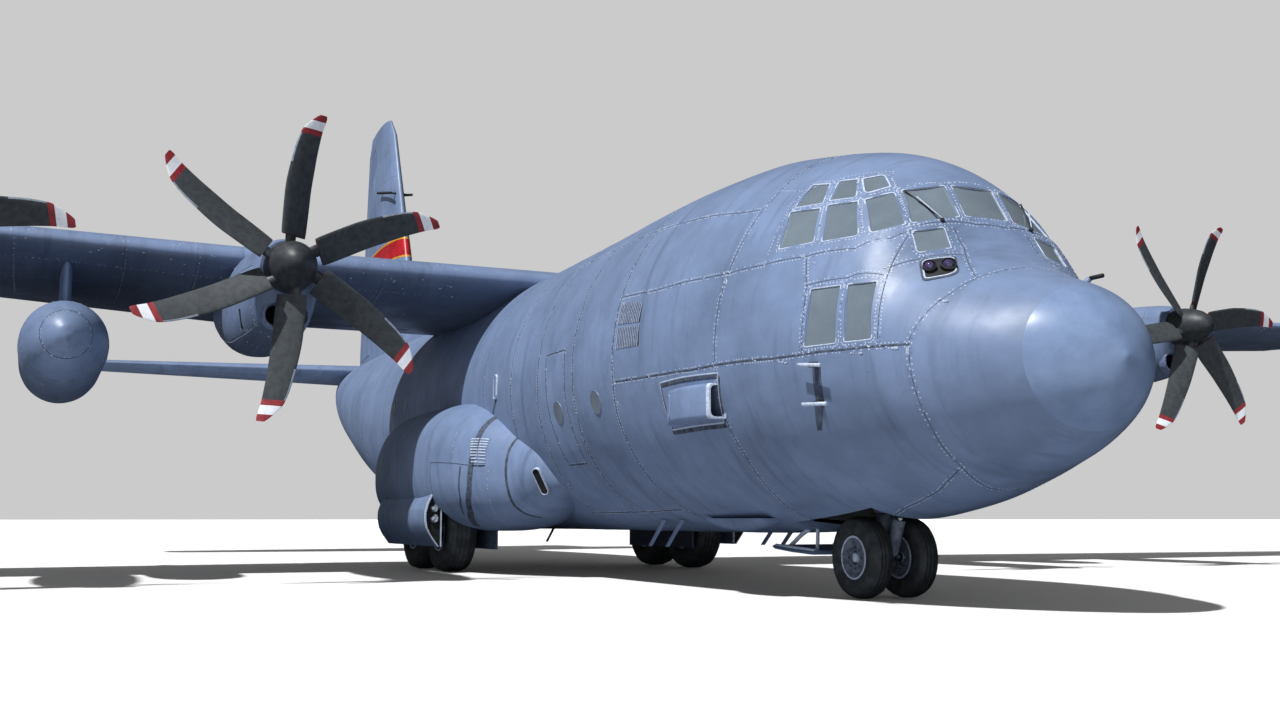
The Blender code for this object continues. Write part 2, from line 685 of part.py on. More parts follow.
def build_aft_fuselage():
    shell = aft_shell()
    for side, word in ((1, "left"), (-1, "right")):
        low, high = sorted((side * 0.9, side * 2.5))
        door = kept_inside(aft_shell(), prism("door", door_prism(PARA_DOOR), "side", low, high))
        cut(shell, prism("opening", door_prism(PARA_DOOR, GAP), "side", low, high))
        finish(door, "para_door_" + word, "paint")
    ramp = loading_panel(RAMP)
    hinge = ramp_hinge()
    reach = Vector((0, RAMP["barrel_half"], 0))
    joined(ramp, rod("barrel", hinge - reach, hinge + reach, RAMP["hinge_inset"] + DOOR_END_ROOM - GAP))
    finish(ramp, "ramp", "paint", origin=hinge)
    door = loading_panel(CARGO_DOOR)
    hinge = cargo_door_hinge()
    reach = CARGO_DOOR["half_width"] + RUN - GAP
    for side in (1, -1):
        root, tip = (hinge.x, side * (reach - 0.12), hinge.z), (hinge.x, side * reach, hinge.z)
        joined(door, rod("pin", root, tip, 0.03, 10))
    finish(door, "cargo_door", "paint", origin=hinge)
    half = RAMP["half_width"] + RUN
    cut(shell, station_box("opening", RAMP["start"] - DOOR_END_ROOM, CARGO_DOOR["end"] + DOOR_END_ROOM,
                           -half, half, 0.3, 3.2))
    for side in (1, -1):
        cut(shell, lifting_surface(TAILPLANE, -0.01, 8.02, side=side, grow=GAP * 2))
    finish(shell, "aft_fuselage", "paint")


def loading_panel(size):
    """Piece of the aft underside between two stations."""
    half = size["half_width"]
    return kept_inside(aft_shell(), station_box("piece", size["start"], size["end"], -half, half, 0.3, 3.2))


def ramp_hinge():
    return Vector((x_of(RAMP["start"] + RAMP["hinge_inset"]), 0.0, RAMP["hinge_height"]))


def cargo_door_hinge():
    """The axis lies in the middle of the wall at the door's sides, near its aft edge."""
    station = CARGO_DOOR["end"] - CARGO_DOOR["hinge_inset"]
    half, crown, middle, keel, upper, lower = [smooth_value(HULL, station, c) for c in range(1, 7)]
    side = CARGO_DOOR["half_width"] / half
    surface = middle - (middle - keel) * (1 - side ** lower) ** (1 / lower)
    return Vector((x_of(station), 0.0, surface + AFT_WALL * 0.6))


def build_wing():
    centre = lifting_surface(WING, -0.01, WING_JOINT - GAP, side=1, incidence=WING_INCIDENCE)
    joined(centre, lifting_surface(WING, -0.01, WING_JOINT - GAP, side=-1, incidence=WING_INCIDENCE))
    for side in (1, -1):
        cut(centre, bay_cutter(WING, FLAP_SPANS["inner"][0] - RIB_ROOM, WING_JOINT + 0.1, FLAP_CHORD, side))
    finish(centre, "centre_wing", "paint")
    for side, word in ((1, "left"), (-1, "right")):
        outer = lifting_surface(WING, WING_JOINT + GAP, 20.205, side=side, incidence=WING_INCIDENCE)
        cut(outer, bay_cutter(WING, WING_JOINT - 0.1, FLAP_SPANS["outer"][1] + RIB_ROOM, FLAP_CHORD, side))
        low, high = AILERON_SPAN
        cut(outer, bay_cutter(WING, low - RIB_ROOM, high + RIB_ROOM, AILERON_CHORD, side))
        finish(outer, "outer_wing_" + word, "paint")
        for position, (low, high) in FLAP_SPANS.items():
            flap = lifting_surface(WING, low, high, start=FLAP_CHORD, side=side,
                                   incidence=WING_INCIDENCE, nose=True, steps=3)
            span, outward = (low, -1) if position == "inner" else (high, 1)
            joined(flap, end_pin(WING, span, FLAP_CHORD, outward, WING_INCIDENCE, side=side))
            middle = (low + high) / 2
            pivot = hinge_point(WING, middle, FLAP_CHORD, WING_INCIDENCE, side=side)
            pivot.z -= FLAP_PIVOT_DROP
            finish(flap, "flap_%s_%s" % (position, word), "paint", origin=pivot)
        low, high = AILERON_SPAN
        aileron = lifting_surface(WING, low, high, start=AILERON_CHORD, side=side, incidence=WING_INCIDENCE,
                                  nose=True, steps=3)
        joined(aileron, end_pin(WING, high, AILERON_CHORD, 1, WING_INCIDENCE, side=side))
        finish(aileron, "aileron_" + word, "paint",
               origin=hinge_point(WING, low, AILERON_CHORD, WING_INCIDENCE, side=side))


def build_tail():
    centre = lifting_surface(TAILPLANE, -0.01, 8.02, side=1)
    joined(centre, lifting_surface(TAILPLANE, -0.01, 8.02, side=-1))
    low, high = ELEVATOR_SPAN
    for side in (1, -1):
        cut(centre, bay_cutter(TAILPLANE, low - RIB_ROOM, high + RIB_ROOM, ELEVATOR_CHORD, side))
    finish(centre, "tailplane", "paint")
    for side, word in ((1, "left"), (-1, "right")):
        elevator = lifting_surface(TAILPLANE, low, high, start=ELEVATOR_CHORD, side=side, nose=True, steps=3)
        joined(elevator, end_pin(TAILPLANE, high, ELEVATOR_CHORD, 1, side=side))
        hinge = hinge_point(TAILPLANE, low, ELEVATOR_CHORD, side=side)
        finish(elevator, "elevator_" + word, "paint", origin=hinge)

    fin = lifting_surface(FIN, FIN[0][0], FIN[-1][0], upright=True)
    low, high = RUDDER_SPAN
    cut(fin, bay_cutter(FIN, low - RIB_ROOM, high + RIB_ROOM, RUDDER_CHORD, upright=True))
    fillet = loft("fillet", [
        [(x_of(DORSAL_START), -0.05, 4.7), (x_of(DORSAL_START), 0.05, 4.7), (x_of(DORSAL_START), 0.0, 5.03)],
        [(x_of(22.0), -0.15, 4.7), (x_of(22.0), 0.15, 4.7), (x_of(22.0), 0.0, 5.42)],
        [(x_of(24.2), -0.25, 4.7), (x_of(24.2), 0.25, 4.7), (x_of(24.2), 0.0, 6.00)],
        [(x_of(25.2), -0.25, 4.7), (x_of(25.2), 0.25, 4.7), (x_of(25.2), 0.0, 6.10)],
    ])
    joined(fin, fillet)
    cut(fin, hull_solid(CENTRE_END, TAIL_END, -GAP))
    finish(fin, "fin", "paint")
    rudder = lifting_surface(FIN, low, high, start=RUDDER_CHORD, upright=True, nose=True, steps=3)
    joined(rudder, end_pin(FIN, high, RUDDER_CHORD, 1, upright=True))
    finish(rudder, "rudder", "paint", origin=hinge_point(FIN, low, RUDDER_CHORD, upright=True))


def oval_ring(station, y, z_middle, half_width, half_height, square, count):
    ring = []
    for k in range(count):
        angle = 2 * math.pi * (k + 0.5) / count
        ring.append((x_of(station), y + half_width * signed_power(math.cos(angle), 2 / square),
                     z_middle + half_height * signed_power(math.sin(angle), 2 / square)))
    return ring


def nacelle_rings(y, shaft, inset, start=0):
    rings = []
    for station, half, top, bottom, square in NACELLE[start:]:
        middle, reach = shaft + (top + bottom) / 2, (top - bottom) / 2
        rings.append(oval_ring(station, y, middle, half - inset, reach - inset, square, NACELLE_RING))
    return rings


def build_engine(word, y, shaft):
    side = 1 if y > 0 else -1
    outer = nacelle_rings(y, shaft, 0.0)
    inner = nacelle_rings(y, shaft, NACELLE_WALL)[:-2:2]
    nacelle = tube_shell("nacelle", outer, inner, closed_back=True)
    size = INTAKE
    middle = shaft + (size["top"] + size["bottom"]) / 2
    half_height = (size["top"] - size["bottom"]) / 2
    intake = loft("intake", [oval_ring(s, y, middle, size["half_width"], half_height, 2.6, 16)
                             for s in (size["start"], size["end"])])
    cut(nacelle, intake, wing_cutter(side))
    finish(nacelle, "nacelle_" + word, "paint")

    size = ENGINE_BLOCK
    block = station_box("block", size["start"], size["end"], y - size["half_width"], y + size["half_width"],
                        shaft - size["half_height"], shaft + size["half_height"])
    kept_inside(block, loft("space", nacelle_rings(y, shaft, NACELLE_WALL + GAP)[:-2:2]))
    finish(block, "engine_" + word, "steel")
    build_propeller(word, y, shaft)


def blade_loft(centre, phase):
    """One blade that grows outward from the hub; its leading edge leads anticlockwise seen from ahead."""
    rings = []
    outward = Vector((0.0, -math.sin(phase), math.cos(phase)))
    along = Vector((0.0, -math.cos(phase), -math.sin(phase)))
    forward = Vector((1.0, 0.0, 0.0))
    for radius, chord, thick, sweep, pitch in BLADE:
        tilt = math.radians(pitch)
        chord_way = along * math.cos(tilt) + forward * math.sin(tilt)
        thick_way = forward * math.cos(tilt) - along * math.sin(tilt)
        middle = centre + outward * radius - along * sweep
        outline = [(0.5, 0.0), (0.25, 0.42), (-0.15, 0.5),
                   (-0.5, 0.0), (-0.15, -0.35), (0.25, -0.3)]
        rings.append([middle + chord_way * (c * chord) + thick_way * (h * thick) for c, h in outline])
    return rings


def build_propeller(word, y, shaft):
    centre = Vector((x_of(PROPELLER_STATION), y, shaft))
    profile = SPINNER + [(0.0, SPINNER[-1][1])]
    hub = turned("spinner", profile, 12, (1, 0, 0), centre)
    for k in range(BLADES):
        phase = PROPELLER_PHASE + 2 * math.pi * k / BLADES
        joined(hub, loft("blade", blade_loft(centre, phase)))
    back = x_of(ENGINE_BLOCK["start"]) + GAP
    joined(hub, rod("shaft", centre, (back, y, shaft), 0.12, 12))
    finish(hub, "propeller_" + word, "dark_paint", origin=centre)


def build_tank(side, word):
    size = TANK
    y = side * size["span"]
    radius = size["radius"]
    # Fraction of the length and of the radius
    shape = [(0.0, 0.0), (0.0, 0.12), (0.012, 0.32), (0.04, 0.58), (0.10, 0.84), (0.18, 0.97), (0.26, 1.0),
             (0.62, 1.0), (0.74, 0.93), (0.86, 0.70), (0.95, 0.38), (1.0, 0.10), (1.0, 0.0)]
    profile = [(radius * r, -size["length"] * t) for t, r in shape]
    tank = turned("tank", profile, 16, (1, 0, 0), (x_of(size["start"]), y, size["height"]))
    start, end, half = TANK_PYLON["start"], TANK_PYLON["end"], TANK_PYLON["half_width"]
    outline = [(start, 0.3), (start + 0.5, 1.0), (start + 1.2, 1.0),
               (end, 0.2), (start + 1.2, -1.0), (start + 0.5, -1.0)]
    rings = [[(x_of(s), y + half * w, z) for s, w in outline] for z in (size["height"] + 0.2, 5.0)]
    pylon = loft("pylon", rings)
    cut(pylon, wing_cutter(side))
    bm = bmesh.new()
    bm.from_mesh(pylon.data)
    above = [v for v in bm.verts if v.co.z > 4.85]
    bmesh.ops.delete(bm, geom=above, context="VERTS")
    bm.to_mesh(pylon.data)
    bm.free()
    joined(tank, pylon)
    finish(tank, "wing_tank_" + word, "paint")


def sponson_rings(side, inset=0.0):
    rings = []
    for station, outer, top, bottom, square in SPONSON:
        half = outer - SPONSON_MIDDLE - inset
        rings.append(oval_ring(station, side * SPONSON_MIDDLE, (top + bottom) / 2, half,
                               (top - bottom) / 2 - inset, square, SPONSON_RING))
    return rings


def build_main_gear(side, word):
    sponson = loft("sponson", sponson_rings(side))
    well = MAIN_WELL
    low, high = sorted((side * well["inner"], side * well["outer"]))
    cut(sponson, hull_solid(FORWARD_END, 19.6, -GAP))
    cut(sponson, station_box("well", well["start"], well["end"], low, high, 0.2, well["roof"]))
    low, high = sorted((side * well["inner"], side * 3.4))
    cut(sponson, station_box("mouth", well["start"], well["end"], low, high, 0.2, MOUTH_ROOF))
    finish(sponson, "sponson_" + word, "paint")

    door = gear_door(side)
    finish(door, "main_gear_door_" + word, "paint")

    y = side * MAIN_WHEEL_Y
    for place, station in MAIN_WHEEL_STATIONS.items():
        centre = (x_of(station), y, MAIN_TYRE["radius"])
        wheel = wheel_shape(MAIN_TYRE["radius"], MAIN_TYRE["width"], centre, 20)
        finish(wheel, "main_wheel_%s_%s" % (place, word), "rubber", origin=centre)
    stations = list(MAIN_WHEEL_STATIONS.values())
    middle = sum(stations) / 2
    inner, outer = MAIN_BEAM["inner"], MAIN_BEAM["outer"]
    axle_z = MAIN_TYRE["radius"]
    leg = station_box("beam", stations[0] - 0.10, stations[1] + 0.10, *sorted((side * inner, side * outer)),
                      axle_z - 0.10, axle_z + 0.10)
    hub_y = y - side * (MAIN_TYRE["width"] / 2 - HUB_RECESS + AXLE_GAP)
    for station in stations:
        x = x_of(station)
        joined(leg, rod("axle", (x, side * (inner + 0.02), axle_z), (x, hub_y, axle_z), 0.09))
    strut_y = side * (inner + outer) / 2
    for station in (middle - 0.28, middle + 0.28):
        x = x_of(station)
        joined(leg, rod("strut", (x, strut_y, axle_z), (x, strut_y, well["roof"] - GAP), 0.045))
    finish(leg, "main_gear_leg_" + word, "steel")


def gear_door(side):
    """Curved panel that hangs from the roof of the sponson's mouth."""
    path = MAIN_DOOR["path"]
    ring = path + [(y + MAIN_DOOR["thickness"], z + MAIN_DOOR["lift"]) for y, z in reversed(path)]
    margin = MAIN_DOOR["end_room"]
    ends = []
    for station in (MAIN_WELL["start"] + margin, MAIN_WELL["end"] - margin):
        ends.append([(x_of(station), side * y, z) for y, z in ring])
    return loft("door", ends)


def wheel_shape(radius, width, centre, segments):
    half = width / 2
    rim = radius * 0.54
    recess = min(HUB_RECESS, 0.4 * half)
    side = [(0.0, half - recess), (rim * 0.70, half - recess), (rim, half - 0.02),
            (radius * 0.82, half), (radius * 0.96, half * 0.74), (radius, half * 0.40)]
    profile = side + [(r, -h) for r, h in reversed(side)]
    return turned("wheel", profile, segments, (0, 1, 0), centre)


def build_nose_gear():
    station = NOSE_STATION
    tyre = NOSE_TYRE
    x = x_of(station)
    axle_z = tyre["radius"]
    wheels = wheel_shape(tyre["radius"], tyre["width"], (x, tyre["offset"], axle_z), 18)
    joined(wheels, wheel_shape(tyre["radius"], tyre["width"], (x, -tyre["offset"], axle_z), 18))
    joined(wheels, rod("axle", (x, -tyre["offset"], axle_z), (x, tyre["offset"], axle_z), 0.05))
    finish(wheels, "nose_wheels", "rubber", origin=(x, 0, axle_z))

    fork = rod("piston", (x, 0, axle_z), (x, 0, 0.92), 0.075)
    joined(fork, rod("hub", (x, -0.10, axle_z), (x, 0.10, axle_z), 0.10))
    cut(fork, rod("bore", (x, -0.3, axle_z), (x, 0.3, axle_z), 0.0513))
    finish(fork, "nose_steering", "steel", origin=(x, 0, axle_z))

    bay = NOSE_BAY
    leg = rod("cylinder", (x, 0, 0.9214), (x, 0, bay["roof"] - GAP), 0.11)
    joined(leg, rod("brace", (x, 0, 1.10), (x_of(station - 0.55), 0, bay["roof"] - 0.05), 0.05))
    finish(leg, "nose_leg", "steel")

    half = bay["half_width"]
    house = station_box("bay", bay["start"] - 0.05, bay["end"] + 0.05, -half - 0.05, half + 0.05,
                        0.4, bay["roof"] + 0.05)
    cut(house, station_box("space", bay["start"], bay["end"], -half, half, 0.2, bay["roof"]))
    kept_inside(house, hull_solid(RADOME_END, FORWARD_END, WALL + GAP))
    finish(house, "nose_gear_bay", "cabin")

    back = bay["end"] - GAP
    outline = [(back - 0.04, 0.95), (back, 0.95), (back, 0.60), (5.30, 0.33), (5.30, 0.28),
               (back - 0.04, 0.55)]
    door = prism("door", outline, "side", -0.5, 0.5)
    finish(door, "nose_gear_door", "paint")


def build_all():
    start_scene()
    build_nose_and_cockpit()
    build_forward_fuselage()
    build_centre_fuselage()
    build_aft_fuselage()
    build_wing()
    build_tail()
    for word, y, shaft in ENGINES:
        build_engine(word, y, shaft)
    for side, word in ((1, "left"), (-1, "right")):
        build_tank(side, word)
        build_main_gear(side, word)
    build_nose_gear()


build_all()
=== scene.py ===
"""Looks of the four-engined military transport plane, laid out as a Blender add-on and run as a script.

Sizes are the real plane's, in metres: a station runs aft from the nose tip, a distance runs to port from the
centre line and a height runs up from the ground. place() turns them into the half-size model.
"""

import random
from math import acos, asin, atan2, copysign, cos, pi, radians, sin, sqrt, tan

import bmesh
import bpy
from bpy.props import FloatProperty, FloatVectorProperty, IntProperty, PointerProperty
from mathutils import Matrix, Vector


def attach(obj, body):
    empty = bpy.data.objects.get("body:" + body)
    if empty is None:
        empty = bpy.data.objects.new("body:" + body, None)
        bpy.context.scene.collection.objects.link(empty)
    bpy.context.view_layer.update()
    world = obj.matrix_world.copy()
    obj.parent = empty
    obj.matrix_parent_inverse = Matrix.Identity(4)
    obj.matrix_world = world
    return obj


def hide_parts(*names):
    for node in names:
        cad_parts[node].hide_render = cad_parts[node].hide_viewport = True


bl_info = {
    "name": "Transport plane looks",
    "version": (1, 0, 0),
    "blender": (4, 5, 0),
    "location": "3D View > Sidebar > Plane",
    "description": "Weathered skins, propellers, wheels and cabin of a military transport plane",
    "category": "Object",
}

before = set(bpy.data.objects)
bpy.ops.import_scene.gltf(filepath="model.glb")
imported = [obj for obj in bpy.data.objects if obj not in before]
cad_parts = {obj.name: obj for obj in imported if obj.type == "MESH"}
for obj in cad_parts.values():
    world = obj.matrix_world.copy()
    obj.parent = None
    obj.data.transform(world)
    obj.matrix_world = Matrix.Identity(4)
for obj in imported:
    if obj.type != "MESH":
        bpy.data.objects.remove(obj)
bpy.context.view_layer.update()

MODEL_SCALE = 0.5
LENGTH = 29.79
ROOT = "airframe"
SIDES = ((1, "left"), (-1, "right"))

# Station, half width, crown, height of the widest point, keel, upper and lower squareness
HULL = [
    (0.00, 0.02, 2.27, 2.25, 2.23, 2.0, 2.0),
    (0.08, 0.30, 2.58, 2.25, 1.95, 2.0, 2.0),
    (0.35, 0.68, 2.88, 2.27, 1.68, 2.0, 2.0),
    (0.90, 1.09, 3.12, 2.31, 1.38, 2.0, 2.0),
    (1.30, 1.30, 3.30, 2.35, 1.24, 2.0, 2.0),
    (1.60, 1.42, 3.54, 2.38, 1.14, 2.0, 2.0),
    (1.80, 1.50, 3.88, 2.41, 1.08, 1.95, 2.0),
    (2.00, 1.57, 4.20, 2.44, 1.02, 1.92, 2.0),
    (2.25, 1.65, 4.42, 2.48, 0.96, 1.9, 2.0),
    (2.60, 1.76, 4.62, 2.52, 0.90, 1.92, 2.0),
    (3.10, 1.88, 4.81, 2.60, 0.83, 1.96, 2.0),
    (3.80, 2.01, 4.96, 2.70, 0.76, 2.0, 2.0),
    (4.70, 2.11, 5.09, 2.78, 0.70, 2.0, 2.0),
    (6.20, 2.16, 5.13, 2.80, 0.68, 2.0, 2.0),
    (8.90, 2.16, 5.05, 2.80, 0.68, 2.0, 2.0),
    (12.00, 2.16, 4.99, 2.80, 0.68, 2.0, 2.0),
    (17.70, 2.16, 4.98, 2.80, 0.66, 2.0, 2.0),
    (19.60, 2.16, 4.98, 2.95, 1.04, 2.0, 2.2),
    (22.60, 1.93, 4.98, 3.40, 2.05, 2.0, 2.4),
    (25.40, 1.53, 4.96, 3.92, 3.10, 2.0, 2.6),
    (27.60, 0.98, 4.92, 4.40, 3.95, 2.0, 2.4),
    (29.20, 0.35, 4.82, 4.62, 4.40, 2.0, 2.0),
    (29.79, 0.12, 4.76, 4.66, 4.56, 2.0, 2.0),
]
RADOME_END = 1.30
COCKPIT_END = 3.80
FORWARD_END = 8.90
CENTRE_END = 17.70
HOLLOW_END = 27.60
TAIL_END = 29.79
WALL = 0.12
AFT_WALL = 0.08
AROUND = 128                  # points round the fuselage
GAP = 0.0007
RUN = 0.014                   # between a moving piece and its frame
RIB_ROOM = 0.02
NOSE_BAY = {"start": 2.92, "end": 4.42, "half_width": 0.66}
CREW_DOOR = {"start": 4.15, "end": 4.95, "bottom": 1.10, "top": 2.86,
             "hinge": {"axis": (1.302, 1.10), "start": 4.78, "end": 4.9626, "radius": 0.010}}
PARA_DOOR = {"start": 18.30, "end": 19.20, "bottom": 1.45, "top": 3.30}
RAMP = {"start": 17.85, "end": 20.88, "half_width": 1.20}
CARGO_DOOR = {"start": 20.98, "end": 24.30, "half_width": 1.20}
DOOR_END_ROOM = 0.05

# Span position, leading edge station, chord, height of the chord line, thickness to chord
WING = [
    (0.00, 11.80, 4.88, 4.66, 0.158),
    (5.59, 11.80, 4.88, 4.68, 0.150),
    (6.40, 11.83, 4.76, 4.708, 0.147),
    (19.60, 12.40, 2.75, 5.185, 0.11),
    (20.205, 12.85, 2.00, 5.224, 0.10),
]
WING_JOINT = 6.40
WING_TIP = 20.205
INCIDENCE = radians(3.5)
FLAP_CHORD = 0.74
FLAP_SPANS = {"inner": (2.32, 6.36), "outer": (6.44, 13.30)}
AILERON_CHORD = 0.76
AILERON_SPAN = (13.42, 19.40)
TAILPLANE = [
    (0.00, 24.90, 4.00, 4.58, 0.12),
    (7.60, 26.00, 1.90, 4.62, 0.10),
    (8.02, 26.30, 1.40, 4.62, 0.09),
]
ELEVATOR_CHORD = 0.64
ELEVATOR_SPAN = (1.15, 7.55)
# Height, leading edge station, chord, sideways offset, thickness to chord
FIN = [
    (4.68, 23.10, 6.44, 0.0, 0.12),
    (5.60, 23.52, 6.02, 0.0, 0.12),
    (11.20, 26.00, 2.90, 0.0, 0.10),
    (11.70, 26.50, 2.10, 0.0, 0.09),
]
RUDDER_CHORD = 0.66
RUDDER_SPAN = (5.30, 11.15)

# Engine positions: name, distance from the centre line, height of the shaft
ENGINES = [
    ("left_outer", 10.22, 4.27),
    ("left_inner", 5.55, 4.12),
    ("right_inner", -5.55, 4.12),
    ("right_outer", -10.22, 4.27),
]
# Station, half width, top and bottom from the shaft, squareness
NACELLE = [
    (9.03, 0.37, 0.38, -0.38, 2.0),
    (9.16, 0.40, 0.42, -0.76, 2.2),
    (9.40, 0.42, 0.46, -0.87, 2.4),
    (10.20, 0.47, 0.53, -0.94, 2.5),
    (11.20, 0.49, 0.58, -0.92, 2.5),
    (12.40, 0.44, 0.55, -0.76, 2.4),
    (13.60, 0.40, 0.48, -0.45, 2.2),
    (14.30, 0.32, 0.42, -0.16, 2.0),
    (14.78, 0.19, 0.39, 0.26, 2.0),
]
INTAKE = {"start": 8.9, "end": 9.80, "half_width": 0.28, "top": -0.43, "bottom": -0.78}
# Radius and distance aft of the propeller of the engine inside the nacelle
ENGINE_CORE = [(0.0, 0.62), (0.16, 0.62), (0.20, 0.80), (0.30, 0.84), (0.30, 1.02), (0.22, 1.06),
               (0.22, 1.18), (0.27, 1.22), (0.27, 1.62), (0.31, 1.66), (0.31, 2.02), (0.24, 2.08),
               (0.24, 2.50), (0.18, 2.88), (0.0, 2.88)]
PROPELLER_STATION = 8.75
BLADES = 6
PROPELLER_PHASES = {"left_outer": -20.0, "left_inner": -4.0, "right_inner": -4.0, "right_outer": -20.0}
# Blade: radius, chord, thickness, sweep back from the pitch line, pitch angle in degrees
BLADE = [
    (0.385, 0.41, 0.080, -0.03, 34.0),
    (0.46, 0.42, 0.076, -0.03, 33.0),
    (0.93, 0.40, 0.054, -0.03, 26.0),
    (1.36, 0.36, 0.038, 0.00, 20.0),
    (1.80, 0.29, 0.025, 0.07, 15.5),
    (2.057, 0.13, 0.012, 0.20, 13.0),
]
SHANK = [(0.26, 0.17, 0.110, -0.06, 42.0), (0.37, 0.19, 0.105, -0.06, 40.0), (0.40, 0.17, 0.090, -0.06, 39.0)]
# Colour bands of a blade: where each starts, and its finish
BANDS = ((1.77, 1), (1.845, 2), (1.965, 1))
EDGE_STRIP_START = 1.35
ROOT_RADII = [0.385, 0.39, 0.42]
TIP_RADII = [1.8075, 1.845, 1.885, 1.925, 1.965, 2.0, 2.03, 2.05, 2.057]
# Radius and distance ahead of the blades
SPINNER = [(0.00, 0.46), (0.045, 0.452), (0.09, 0.435), (0.17, 0.36), (0.25, 0.23), (0.31, 0.06),
           (0.335, -0.10), (0.335, -0.25), (0.25, -0.25), (0.0, -0.25)]

TANK = {"span": 8.17, "height": 3.29, "radius": 0.60, "start": 10.3, "length": 6.6}
# Fraction of the tank's length and of its radius
TANK_SHAPE = [(0.0, 0.0), (0.0, 0.12), (0.012, 0.32), (0.04, 0.58), (0.10, 0.84), (0.18, 0.97), (0.26, 1.0),
              (0.62, 1.0), (0.74, 0.93), (0.86, 0.70), (0.95, 0.38), (1.0, 0.10), (1.0, 0.0)]
TANK_STEPS = [0.0, 0.004, 0.012, 0.025, 0.04, 0.06, 0.08, 0.10, 0.13, 0.16, 0.20, 0.26, 0.4, 0.5, 0.62, 0.68,
              0.74, 0.80, 0.86, 0.91, 0.95, 0.98, 1.0]
TANK_PYLON = {"start": 12.3, "end": 14.5, "half_width": 0.09}

# Sponson: station, outer distance, top, bottom, squareness
SPONSON = [
    (9.25, 1.64, 1.60, 1.30, 2.0),
    (9.45, 1.92, 1.98, 1.16, 2.1),
    (10.00, 2.17, 2.22, 0.88, 2.3),
    (10.70, 2.52, 2.50, 0.74, 2.5),
    (11.30, 2.72, 2.66, 0.69, 2.6),
    (11.90, 2.82, 2.74, 0.66, 2.7),
    (12.60, 2.86, 2.76, 0.66, 2.8),
    (14.60, 2.86, 2.76, 0.66, 2.8),
    (16.00, 2.68, 2.58, 0.70, 2.6),
    (17.00, 2.42, 2.25, 0.80, 2.4),
    (17.80, 2.10, 1.80, 0.95, 2.2),
]
SPONSON_NOSE_END = 10.00
SPONSON_MIDDLE = 1.50
MAIN_WELL = {"start": 11.82, "end": 15.05, "inner": 1.83, "outer": 2.60, "roof": 1.62}
MOUTH_ROOF = 1.00
MAIN_WHEEL_STATIONS = {"front": 12.65, "rear": 14.225}
MAIN_WHEEL_Y = 2.21
MAIN_TYRE = {"radius": 0.71, "width": 0.50, "grooves": 4}
NOSE_STATION = 3.65
NOSE_TYRE = {"radius": 0.44, "width": 0.26, "grooves": 3, "offset": 0.29}
HUB_RECESS = 0.10
# Bulged gear door: its outer face from the top down, as height and distance, and its flat inner side
GEAR_DOOR = {"start": 11.87, "end": 15.00, "inner": 2.60, "top": 1.42, "split": 1.00, "bottom": 0.42,
             "path": [(1.42, 2.62), (1.24, 2.76), (1.10, 2.83), (0.95, 2.87), (0.83, 2.87), (0.72, 2.85),
                      (0.60, 2.79), (0.50, 2.72), (0.42, 2.66)]}

# Pane name, way of looking at it, and its corners: (station, height) from the side, (distance, height)
# from the front
PANES = [
    ("lower_aft", "side", [(2.455, 2.52), (2.085, 2.52), (2.125, 3.085), (2.45, 3.09)]),
    ("lower_fore", "side", [(1.985, 2.52), (1.70, 2.52), (1.79, 3.085), (2.045, 3.085)]),
    ("side_aft", "side", [(3.03, 3.60), (2.62, 3.61), (2.78, 4.005), (3.14, 4.03)]),
    ("side_middle", "side", [(2.52, 3.60), (2.17, 3.61), (2.42, 4.02), (2.72, 4.03)]),
    ("corner", "front", [(1.185, 3.62), (0.905, 3.70), (0.815, 4.09), (1.035, 4.03)]),
    ("brow_aft", "side", [(3.12, 4.08), (2.80, 4.07), (2.93, 4.315), (3.15, 4.35)]),
    ("brow_middle", "side", [(2.74, 4.09), (2.48, 4.08), (2.67, 4.325), (2.85, 4.335)]),
    ("brow_fore", "front", [(0.99, 4.115), (0.79, 4.178), (0.725, 4.345), (0.88, 4.32)]),
    ("windscreen", "front", [(0.847, 3.712), (0.335, 3.805), (0.33, 4.166), (0.743, 4.104)]),
    ("chin", "front", [(0.914, 3.38), (0.584, 3.44), (0.556, 3.665), (0.873, 3.612)]),
]
CENTRE_PANE = [(-0.262, 3.815), (0.262, 3.815), (0.25, 4.172), (-0.25, 4.172)]
PANE_CORNER = 0.018

# Joints of the skin as (station, degrees round from port over the crown), mirrored to port
RINGS = [
    [(3.60, 90), (3.63, 113), (3.62, 121.5), (3.57, 132), (3.61, 140), (3.64, 150), (3.69, 161), (3.74, 168),
     (3.76, 176), (3.79, 187), (3.81, 191), (3.85, 201), (3.85, 217), (3.97, 235), (4.10, 250)],
    [(6.42, 90), (6.38, 122), (6.04, 137.3), (6.09, 143.3), (6.10, 157), (6.13, 175), (6.17, 188),
     (6.25, 199), (6.28, 211), (6.33, 227), (6.31, 238), (6.26, 253), (6.26, 270)],
    [(7.45, 90), (7.44, 135), (7.42, 158), (7.45, 169), (7.46, 182), (7.51, 198), (7.62, 214), (7.71, 229),
     (7.76, 241), (7.76, 270)],
    [(8.80, 90), (8.78, 135), (8.72, 162), (8.74, 173), (8.77, 182), (8.85, 194), (8.96, 209), (9.10, 224),
     (9.16, 234), (9.2, 242), (9.2, 270)],
    [(9.88, 90), (9.88, 150), (9.89, 171), (9.91, 181), (9.93, 192), (9.94, 200)],
]
